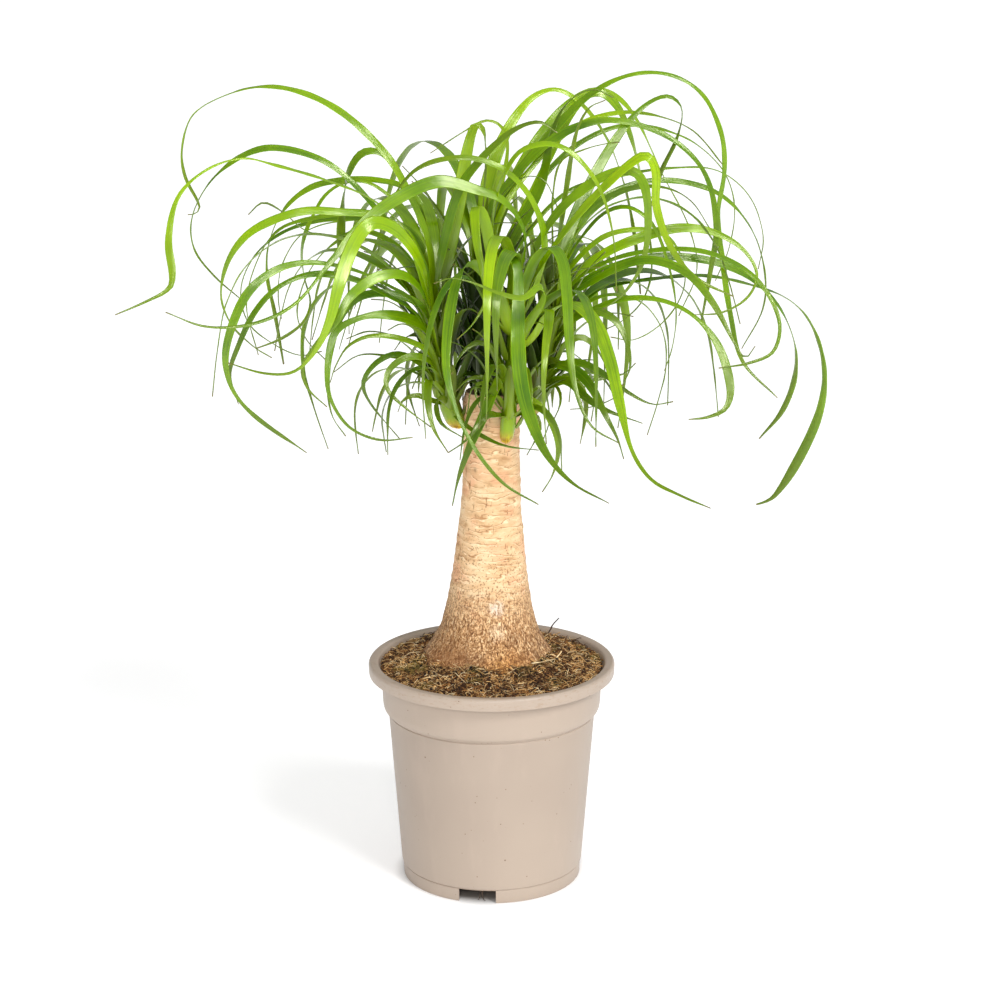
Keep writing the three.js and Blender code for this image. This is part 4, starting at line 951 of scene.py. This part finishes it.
        [5, 0.85, 115, 130, 20, 30, 30, [15, 510, 50, 565, 95, 590, 140, 583, 170, 560, 181, 532, 178, 500, 168,
         474]],
        [5, 1, 40, 25, 20, 40, 30, [2, 520, 12, 570, 8, 589, -4, 594, -20, 586, -45, 570]],
        [11, 0.9, 40, 50, 20, 30, 40, [8, 490, 36, 545, 46, 588, 58, 609, 75, 617, 90, 611]],
    ],
}

# Leaves laid last, in the same way, where the crown would show gaps.
MORE = {
    "left": [
        [7, 0.25, -22, -26, 10, 20, 20, [-30, 394, -20, 403, -8, 399, 0, 386]],
        [6, 0.2, -28, -36, 10, 20, 20, [-24, 386, -18, 396, -13, 397, -9, 391, -7, 380]],
    ],
    "front": [
        [3, 0.35, -34, -36, 20, 40, 30, [26, 382, 34, 392, 40, 390, 43, 380, 44, 365, 39, 350]],
        [6, 0.3, -34, -40, 20, 40, 30, [4, 386, -4, 395, -10, 395, -12, 388, -9, 376]],
        [3, 0.25, -32, -38, 20, 40, 30, [0, 384, -8, 392, -14, 392, -17, 384, -17, 378, -19, 371]],
        [6, 0.35, -34, -38, 20, 40, 30, [8, 392, 4, 402, -2, 402, -4, 394, -3, 384]],
    ],
    "right": [
        [4.5, 1, 10, 0, 20, 30, 30, [46, 500, 46, 540, 52, 564, 70, 573, 85, 577, 95, 578]],
        [9, 0.5, 20, 30, 0, 10, 20, [34, 430, 30, 455, 28, 480, 26, 500, 22, 520]],
        [8, 0.3, 15, 20, 0, 10, 20, [34, 410, 31, 430, 30, 450, 33, 470]],
        [3, 0.3, -10, -20, 20, 40, 30, [42, 394, 47, 395, 52, 388, 52, 378, 47, 366]],
    ],
    "back": [
        [9, 0.5, 30, 40, 0, 10, 20, [-20, 420, -28, 450, -34, 480, -44, 500, -56, 505]],
        [9, 0.3, 25, 30, 0, 10, 20, [-18, 405, -25, 430, -29, 452, -36, 466, -46, 470]],
        [8, 0.4, 40, 60, 0, 10, 20, [-12, 430, -20, 465, -26, 490, -36, 500]],
        [8, 0.1, 10, -8, 10, 20, 20, [-4, 398, 4, 404, 10, 397, 14, 384]],
        [8, 0.12, 2, -14, 10, 20, 20, [-10, 400, -16, 403, -20, 395, -22, 382]],
        [8, 0.2, 45, 60, 10, 20, 20, [-14, 410, -24, 424, -36, 418, -44, 398]],
        [8, 0.15, 50, 70, 10, 20, 20, [-12, 400, -18, 412, -28, 408, -34, 392]],
        [8, 0.3, 45, 50, 10, 20, 20, [-2, 425, 6, 440, 16, 432, 22, 410]],
        [8, 0.1, 50, 60, 10, 20, 20, [-2, 398, 4, 412, 14, 408, 20, 392]],
        [2.5, 0.9, 10, 0, 20, 30, 30, [0, 500, 4, 530, 15, 547, 30, 553, 40, 549, 46, 538, 50, 527]],
    ],
}

# Leaves that fill the crown where the front view doesn't show them. Each row: how many, the directions they
# point in, degrees from +X, how far up the stem they grow, and their shortest and longest length.
FILL = {
    "left": [[8, 100, 165, 0.45, 1, 210, 310], [5, 95, 235, 0.1, 0.45, 80, 150]],
    "front": [[4, -125, -60, 0.6, 1, 190, 270], [4, -150, -30, 0.15, 0.5, 70, 120]],
    "right": [[8, 10, 80, 0.45, 1, 210, 310], [5, -45, 80, 0.1, 0.45, 80, 150]],
    "back": [[13, 35, 145, 0.5, 1, 230, 360], [6, 25, 155, 0.1, 0.5, 80, 160]],
}
FILL_SEED = 7
FILL_STEPS = 8

# Leaves of a rule that are never longer than this are drawn with these shares of their width, root to tip.
SHORT = 200
SHORT_LEAF = (0.8, 1, 1.05, 0.95, 0.75, 0.45, 0.08)

# How far apart, front to back, each shoot's leaves are spread from the depths given in the rows.
SPREAD = {"left": 1.3, "front": 1, "right": 1.35, "back": 1.25}

# The shoots' stems: where each grows out of the trunk, its middle and its top.
STEMS = {
    "front": [[11, -20, 353], [15, -30, 402], [17, -33, 452]],
    "left": [[-25, -6, 361], [-37, -8, 404], [-44, -8, 452]],
    "right": [[27, 4, 367], [39, 4, 408], [47, 4, 454]],
    "back": [[-6, 20, 372], [-8, 31, 412], [-7, 34, 462]],
}
HEADS = list(STEMS)
STEM_R = [7.6, 9.6, 8.6, 8.2, 8.6, 8.2, 5.2]
STEM_ROWS = 44
STEM_SIDES = 28

# Where leaves are rooted: they follow each other round the stem in a spiral.
SPIRAL = math.radians(137.5)
ROOT_R = 2.3
ROOTS_END = 0.95
rooted = dict.fromkeys(HEADS, 0)


def stem_point(head, t):
    return through(*np.array(STEMS[head], float), t)


def next_root(head, start):
    rooted[head] += 1
    return stem_point(head, start * ROOTS_END) + ROOT_R * compass(SPIRAL * rooted[head])


def leaf_route(head, start, width, rolls, points, widths=None, seen=False):
    return dict(head=head, start=start, width=width, rolls=rolls, points=points, widths=widths, seen=seen)


def seen_route(head, row):
    width, start, middle, tip, *rolls, flat, widths = row if isinstance(row[-2], list) else row + [None]
    base = next_root(head, start)
    flat = [(base[0], base[2])] + list(zip(flat[::2], flat[1::2]))
    walked = [0.0]
    for (x0, z0), (x1, z1) in zip(flat, flat[1:]):
        walked.append(walked[-1] + math.hypot(x1 - x0, z1 - z0))
    points = [base]
    for (x, z), far in list(zip(flat, walked))[1:]:
        depth = through(base[1], middle * SPREAD[head], tip * SPREAD[head], far / walked[-1])
        points.append(seen_at(x, z, depth))
    return leaf_route(head, start, width, rolls, points, widths, True)


def fill_route(head, row, place_in_row, roll):
    _, from_angle, to_angle, low, high, shortest, longest = row
    short = longest < SHORT
    start = mix(low, high, roll())
    heading = mix(from_angle, to_angle, place_in_row) + 14 * (roll() - 0.5)
    length = mix(shortest, longest, roll())
    rise = mix(48, 84, start) + 8 * (roll() - 0.5)
    drop = 62 + 50 * roll()
    swirl = 60 * (roll() - 0.5)
    width = mix(4.5, 8, roll()) if short else mix(6.5, 12, roll())
    rolls = (0, 40 * (roll() - 0.5), 90 * (roll() - 0.5))
    points = [next_root(head, start)]
    for i in range(FILL_STEPS):
        s = (i + 0.5) / FILL_STEPS
        pitch = math.radians(rise - (rise + drop) * smooth(s * 1.1))
        turn = math.radians(heading + swirl * s * s)
        points.append(points[-1] + compass(turn, pitch) * (length / FILL_STEPS))
    widths = [width * share for share in SHORT_LEAF] if short else None
    return leaf_route(head, start, width, rolls, points, widths)


# How far a leaf that shows at the front turns its flat side forwards, where it would lie edge on.
SHOWING = 0.3
LEAF_SAMPLES = 60
LEVELLING = 0.12
LISTED_SHARE = 0.54
BLADE_WIDTH = 0.9
THINNEST = 0.45
SOFTEN = [0.1, 0.2, 0.4, 0.2, 0.1]


def full_half(width, s):
    """Half the width of a leaf that stays broad to near its tip, which is the room that each leaf is given."""
    sheath = 1 + 0.25 * (1 - smooth(s / 0.12))
    return np.maximum(THINNEST, width / 2 * 0.87 * sheath * (1 - s**4) ** 0.9)


def drawn_half(route, s):
    """Half the width that a leaf is drawn with: as listed for it, or else tapering from a third of its length."""
    if route["widths"]:
        half = np.interp(s, np.linspace(0, 1, len(route["widths"])), route["widths"]) * LISTED_SHARE
        half = np.convolve(np.pad(half, 2, "edge"), SOFTEN, "valid")
    else:
        sheath = 1 + 0.3 * (1 - smooth(s / 0.14))
        taper = (1 - 0.78 * smooth((s - 0.38) / 0.62)) * (1 - s**10)
        half = np.maximum(THINNEST, route["width"] / 2 * BLADE_WIDTH * sheath * taper)
    return half * (0.45 + 0.55 * smooth(s / 0.035))


def lay_leaf(route):
    """Where a leaf runs and how it lies: at each sample its point, the way across it and the way its top faces."""
    samples, length = curve_through(route["points"], LEAF_SAMPLES)
    far = samples[np.argmax(np.hypot(*(samples - samples[0])[:, :2].T))]
    out = unit((far - samples[0]) * [1, 1, 0])
    hand = -1 if out[0] < 0 else 1
    level = np.array([-out[1], out[0], 0]) * hand
    along = unit_rows(np.vstack([samples[1:], samples[-1:]]) - np.vstack([samples[:1], samples[:-1]]))
    ways, across = [], level
    for a in along:
        across = across + level * LEVELLING
        across = unit(across - a * (across @ a))
        ways.append(across)
    ways = np.array(ways)
    top = np.cross(along, ways) * hand
    s = np.arange(LEAF_SAMPLES + 1)[:, None] / LEAF_SAMPLES
    opening = -1 if out[1] > 0 else 1
    roll0, roll1, roll2 = route["rolls"]
    roll = np.radians(through(roll0, roll1, opening * roll2, s))
    room = (ways * np.cos(roll) + top * np.sin(roll)) * full_half(route["width"], s)
    if route["seen"]:
        sight = unit_rows(samples - EYE)
        turned = np.arctan2((ways * sight).sum(1), (top * sight).sum(1))[:, None] + roll
        roll = roll - SHOWING * smooth((s - 0.15) / 0.3) * np.sin(2 * turned)
    side = ways * np.cos(roll) + top * np.sin(roll)
    face = top * np.cos(roll) - ways * np.sin(roll)
    half = drawn_half(route, s[:, 0])
    return dict(route, samples=samples, side=side, face=face, half=half, room=room, length=length, hand=hand)


# How near two leaves may come, where they grow from different stems and, past their first samples, where they
# share one, and how near the trunk's axis a leaf may come below the trunk's top.
CLEAR_OTHER = 6.5
CLEAR_OWN = 4
OWN_FROM = 24
TRUNK_CLEAR = 26
TRUNK_CLEAR_Z = 392
TRUNK_CLEAR_FROM = 6

# How far a leaf is bent to lie clear, in the order tried, and how soon along the leaf that holds in full.
SHIFTS = [0, 10, -10, 20, -20, 30, -30, 40, -40, 52, -52, 64, -64]
SHIFT_RISE = 2.2
SHIFT_ACROSS = 0.8
STEM_PROBE_R, STEM_PROBE_ROWS, STEM_PROBE_SIDES = 6, 24, 8
placed = {"points": np.zeros((0, 3)), "heads": np.zeros(0, int), "samples": np.zeros(0, int)}


def probes_of(leaf):
    points = np.stack([leaf["samples"] - leaf["room"], leaf["samples"], leaf["samples"] + leaf["room"]], 1)
    return points.reshape(-1, 3), np.repeat(np.arange(LEAF_SAMPLES + 1), 3)


def place(head, points, samples):
    heads = np.full(len(points), HEADS.index(head))
    for key, new in (("points", points), ("heads", heads), ("samples", samples)):
        placed[key] = np.concatenate([placed[key], new])


def clearance(leaf):
    """The smallest distance, over what is asked for, from a leaf to the trunk and to the leaves laid so far."""
    points, samples = probes_of(leaf)
    worst = math.inf
    low = points[(points[:, 2] < TRUNK_CLEAR_Z) & (samples > TRUNK_CLEAR_FROM)]
    if len(low):
        worst = np.hypot(low[:, 0], low[:, 1]).min() - TRUNK_CLEAR
    others = placed["points"]
    near = ((others > points.min(0) - CLEAR_OTHER) & (others < points.max(0) + CLEAR_OTHER)).all(1)
    others, heads, other_samples = others[near], placed["heads"][near], placed["samples"][near]
    if not len(others):
        return worst
    own = np.broadcast_to(heads == HEADS.index(leaf["head"]), (len(points), len(others)))
    gap = np.sqrt(((points[:, None] - others[None]) ** 2).sum(2)) - np.where(own, CLEAR_OWN, CLEAR_OTHER)
    close = (samples[:, None] < OWN_FROM) | (other_samples[None] < OWN_FROM)
    return min(worst, np.where(own & close, math.inf, gap).min())


def combed(route, shift_of):
    """The leaf bent nearer or further, along the line of sight or its own way across, till it lies clear."""
    best = None
    root, *others = route["points"]
    for shift in SHIFTS:
        bent = [shift_of(p, shift * smooth((i + 1) / len(others) * SHIFT_RISE)) for i, p in enumerate(others)]
        leaf = lay_leaf({**route, "points": [root] + bent})
        room = clearance(leaf)
        if room >= 0:
            return leaf
        if best is None or room > best[0]:
            best = (room, leaf)
    return best[1]


def along_sight(p, shift):
    return p + unit(p - ROUTE_EYE) * shift


def shift_across(route):
    a, b = route["points"][0], route["points"][4]
    across = unit(np.array([a[1] - b[1], b[0] - a[0], 0]))
    return lambda p, shift: p + across * shift * SHIFT_ACROSS


def grow_leaves():
    leaves = []
    turns = around(STEM_PROBE_SIDES)
    ring = STEM_PROBE_R * np.stack([np.cos(turns), np.sin(turns), turns * 0], 1)
    for head in HEADS:
        for i in range(STEM_PROBE_ROWS + 1):
            place(head, stem_point(head, i / STEM_PROBE_ROWS) + ring, np.zeros(STEM_PROBE_SIDES, int))

    def add(leaf):
        place(leaf["head"], *probes_of(leaf))
        leaves.append(lay_leaf({**leaf, "points": seen_from_camera(leaf["points"])}))

    def add_seen(table):
        for head, rows in table.items():
            for row in rows:
                add(combed(seen_route(head, row), along_sight))

    add_seen(SEEN)
    roll = dice(FILL_SEED)
    for head, rows in FILL.items():
        for row in rows:
            for i in range(row[0]):
                route = fill_route(head, row, (i + 0.5) / row[0], roll)
                add(combed(route, shift_across(route)))
    add_seen(MORE)
    return leaves


# Short broad leaves that clasp each stem and stand up round the long ones: how many on each stem, and their
# shortest and longest length.
CLASPING = {"left": (22, 50, 110), "front": (18, 50, 100), "right": (22, 50, 115), "back": (28, 60, 140)}
CLASP_SEED = 19
CLASP_STEPS = 6
CLASP_R = 5.5
TONE_SEED = 31


def clasping_routes():
    roll = dice(CLASP_SEED)
    routes = []
    for head, (count, shortest, longest) in CLASPING.items():
        for i in range(count):
            start = mix(0.12, 1, (i + 0.5) / count)
            turn = SPIRAL * i + 0.4 * (roll() - 0.5)
            length = mix(shortest, longest, roll())
            lean = math.radians(mix(26, 10, start) + 12 * (roll() - 0.5))
            curl = math.radians(mix(30, 100, roll()))
            points = [stem_point(head, start * ROOTS_END) + compass(turn) * CLASP_R]
            for k in range(CLASP_STEPS):
                s = (k + 0.5) / CLASP_STEPS
                pitch = math.radians(88) - lean - curl * s * s
                points.append(points[-1] + compass(turn, pitch) * length / CLASP_STEPS)
            rolls = (0, 12 * (roll() - 0.5), 40 * (roll() - 0.5))
            width = mix(8, 11.5, roll()) * (0.75 if head == "front" else 1)
            routes.append(leaf_route(head, start, width, rolls, points))
    return routes


def leaf_growth():
    """Sweeps a channelled, tapering blade along each spine, which keeps its own way across and half width."""
    tree, sizes = new_growth(
        "strap leaf blades", Thickness=0.0007, Channel=0.12, Base_channel=0.7, Segment=0.0045, Ripple=0.00022,
        Sides=12,
    )
    spine = sizes["Geometry"]
    spine = spine.add("GeometryNodeMeshToCurve", {"Mesh": spine})
    spine = spine.add("GeometryNodeCurveSplineType", {"Curve": spine}, spline_type="CATMULL_ROM")
    spine = spine.add("GeometryNodeResampleCurve", {"Curve": spine, "Length": sizes["Segment"]}, mode="LENGTH")
    here = spine.add("GeometryNodeInputPosition")
    spine = spine.keeping("centre", here, "FLOAT_VECTOR")
    outline = spine.add("GeometryNodeCurvePrimitiveCircle", {"Resolution": sizes["Sides"], "Radius": 1.0})
    outline = outline.keeping("across", here.part("X")).keeping("skin", here.part("Y"))
    blade = spine.add("GeometryNodeCurveToMesh", {"Curve": spine, "Profile Curve": outline, "Fill Caps": True})
    across, skin, half, tone, from_root = map(blade.field, ("across", "skin", "half", "tone", "from_root"))
    centre, side, face = (blade.field(name, "FLOAT_VECTOR") for name in ("centre", "side", "face"))
    square = across * across
    fold = square * 0.45 + across.maths("ABSOLUTE") * 0.55
    channel = from_root.between(0.0, 0.055, sizes["Base channel"], sizes["Channel"])
    thin = (1.3 - square) * (sizes["Thickness"] * 0.5)
    wave = (from_root * 240.0 + tone * 60.0 + across * 1.4).maths("SINE") * square
    lift = (fold - 1.0) * (half * channel) + skin * thin + wave * sizes["Ripple"]
    place_at = centre.vector("ADD", side.vector("SCALE", across * half)).vector("ADD", face.vector("SCALE", lift))
    blade = blade.add("GeometryNodeSetPosition", {"Geometry": blade, "Position": place_at})
    return finish_growth(tree, blade, leaf_skin)


def spine_mesh(leaves, roll):
    """The leaves' spines as one mesh of edges, with what the blades need kept at each point."""
    shell = Shell()
    along = np.arange(LEAF_SAMPLES + 1) / LEAF_SAMPLES
    for leaf in leaves:
        shell.add(
            leaf["samples"],
            [(i, i + 1) for i in range(LEAF_SAMPLES)],
            half=leaf["half"] * MM,
            from_root=along * leaf["length"] * MM,
            to_tip=(1 - along) * leaf["length"] * MM,
            tone=clamp01(0.25 + 0.35 * leaf["start"] + 0.5 * (roll() - 0.3)),
            side=leaf["side"] * leaf["hand"],
            face=leaf["face"],
        )
    return shell.mesh("spines")


def stem_shell(head):
    """A shoot's stem: a pale bulb where it leaves the trunk, ringed by the edges of its leaf bases."""
    points, edges = [], []
    for i in range(STEM_ROWS + 1):
        t = i / STEM_ROWS
        base = float(np.interp(t, np.linspace(0, 1, len(STEM_R)), STEM_R))
        base *= math.sqrt(1 - (1 - min(1, t / 0.07)) ** 2)
        base = max(base, 0.4) * (0.64 if head == "front" else 0.9)
        for turn in around(STEM_SIDES):
            lap = (t * 9 + turn / (2 * math.pi)) % 1
            reach = base * (0.97 + 0.04 * (1 - lap) * smooth(lap * 3))
            points.append(stem_point(head, t) + reach * compass(turn))
            edges.append(1.7 * ((3 * turn / (2 * math.pi) + 1.4 * t) % 1) - 0.85)
    rise = np.repeat(np.linspace(0, 1, STEM_ROWS + 1), STEM_SIDES)
    from_root, husk = (0.012 + 0.04 * rise).tolist(), (0.85 * (1 - smooth(rise / 0.14))).tolist()
    marks = dict(across=edges, skin=0.5, tone=0.75, from_root=from_root, to_tip=0.3, husk=husk)
    shell = Shell()
    shell.add(points, loft_faces(STEM_ROWS + 1, STEM_SIDES), **marks)
    return outward(shell.mesh("stem", leaf_skin))


def joined(name, *meshes):
    """Several meshes as one object."""
    parts = [new_object(name, mesh) for mesh in meshes]
    bpy.ops.object.select_all(action="DESELECT")
    for part in parts:
        part.select_set(True)
    bpy.context.view_layer.objects.active = parts[0]
    bpy.ops.object.join()
    parts[0].name = parts[0].data.name = name
    return parts[0]


def dress(piece, slot, *nodes):
    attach(piece, "root")
    if nodes:
        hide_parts(*nodes)


dress(make_pot(), "pot_plastic", "pot")
dress(make_trunk(), "bark", "trunk")

bed = soil_bed()
crumbs = outward(grown(bed.copy(), crumb_growth()))
fibres = fibre_growth()
short_fibres = grown(bed.copy(), fibres)
long_fibres = grown(
    bed.copy(), fibres, Count_per_m2=8000.0, Shortest=0.01, Longest=0.02, Thickness=0.018, Bend=-0.35, Tilt=0.7,
    Seed=17,
)
dress(joined("soil_peat", make_soil(), crumbs), "soil", "potting_soil")
dress(joined("soil_fibres", short_fibres, long_fibres, make_straws()), "soil")
dress(make_roots(), "soil")

blades = leaf_growth()
all_leaves = grow_leaves() + [lay_leaf(route) for route in clasping_routes()]
tones = dice(TONE_SEED)
for head in HEADS:
    spines = spine_mesh([leaf for leaf in all_leaves if leaf["head"] == head], tones)
    foliage = outward(grown(spines, blades))
    dress(joined("leaves_" + head, stem_shell(head), foliage), "leaves", "shoot_" + head)


# The studio: a pale floor, a white wall and surround, a soft sun from the right, above and in front, and a
# small lamp near the camera, whose reflections are the leaves' glints.
FLOOR_GLOW = 0.38
FLOOR_HALF = 40
WALL_HALF = 39
WALL_H = 4
SUN_STRENGTH, SUN_ANGLE, SUN_PLACE = 1.5, 18, (1.4, -1.8, 2.15)
LAMP_WATTS, LAMP_SIZE, LAMP_PLACE = 29, 0.7, (-0.1, -2.6, 1.3)
AIM = (0, 0, 0.3)
WHITE = (1, 1, 1, 1)
BLACK = (0, 0, 0, 1)


def floor_material():
    material, at = new_material("pale floor")
    # The floor glows a little, which keeps its shadows pale, but not under the pot.
    from_axis = at.vector("MULTIPLY", (1.0, 1.0, 0.0)).vector("LENGTH")
    glow = from_axis.between(0.066, 0.08, 0.0, FLOOR_GLOW)
    colour = at.noise(2.0).colours((0.0, (248, 248, 248)), (1.0, (252, 252, 252)))
    # Under the pot the floor is painted dark: a painted contact shadow.
    colour = colour.coated((from_axis.between(0.056, 0.072, 0.85, 0.0), (96, 84, 72)))
    normal = at.noise(40.0).bump(0.02, 0.001)
    return finish_material(material, colour, 0.9, normal, Emission_Color=WHITE, Emission_Strength=glow)


def wall_material():
    material, at = new_material("white wall")
    normal = at.noise(2.0).bump(0.02, 0.001)
    return finish_material(material, BLACK, 0.9, normal, Emission_Color=WHITE, Emission_Strength=1.0)


def square_at(half, z):
    return [(-half, -half, z), (half, -half, z), (half, half, z), (-half, half, z)]


def sheet(name, points, faces, material):
    made = new_object(name, bpy.data.meshes.new(name))
    made.data.from_pydata(points, [], faces)
    made.data.materials.append(material)
    return made


floor = sheet("floor", square_at(FLOOR_HALF, 0), [(0, 1, 2, 3)], floor_material())

# The wall stands a long way off, all round, and hides the horizon from the sides.
wall_faces = [(i, i + 4, (i + 1) % 4 + 4, (i + 1) % 4) for i in range(4)]
wall = sheet("wall", square_at(WALL_HALF, 0) + square_at(WALL_HALF, WALL_H), wall_faces, wall_material())

scene = bpy.context.scene
world = bpy.data.worlds.new("white surround")
world.use_nodes = True
background = world.node_tree.nodes["Background"].inputs
background["Color"].default_value = WHITE
surround = Wire(world.node_tree.nodes.new("ShaderNodeTexCoord").outputs["Generated"])
strength = surround.vector("DOT_PRODUCT", (0.75, -0.5, 0.43)).between(-1.0, 1.0, 0.18, 0.62)
world.node_tree.links.new(strength.socket, background["Strength"])
scene.world = world
scene.view_settings.view_transform = "Standard"


def aimed(name, lamp, at):
    made = new_object(name, lamp)
    made.location = at
    made.rotation_euler = (Vector(AIM) - Vector(at)).to_track_quat("-Z", "Y").to_euler()


sun = bpy.data.lights.new("key", "SUN")
sun.energy, sun.angle = SUN_STRENGTH, math.radians(SUN_ANGLE)
aimed("key", sun, SUN_PLACE)

front_box = bpy.data.lights.new("front box", "AREA")
front_box.shape, front_box.size, front_box.energy = "DISK", LAMP_SIZE, LAMP_WATTS
aimed("front_box", front_box, LAMP_PLACE)

camera = new_object("camera", bpy.data.cameras.new("camera"))
camera.data.lens, camera.data.sensor_width = CAMERA_LENS, 36
camera.data.clip_end = 100
camera.location = tuple(EYE * MM)
camera.rotation_euler = (math.radians(90 - CAMERA_PITCH), 0, 0)
scene.camera = camera
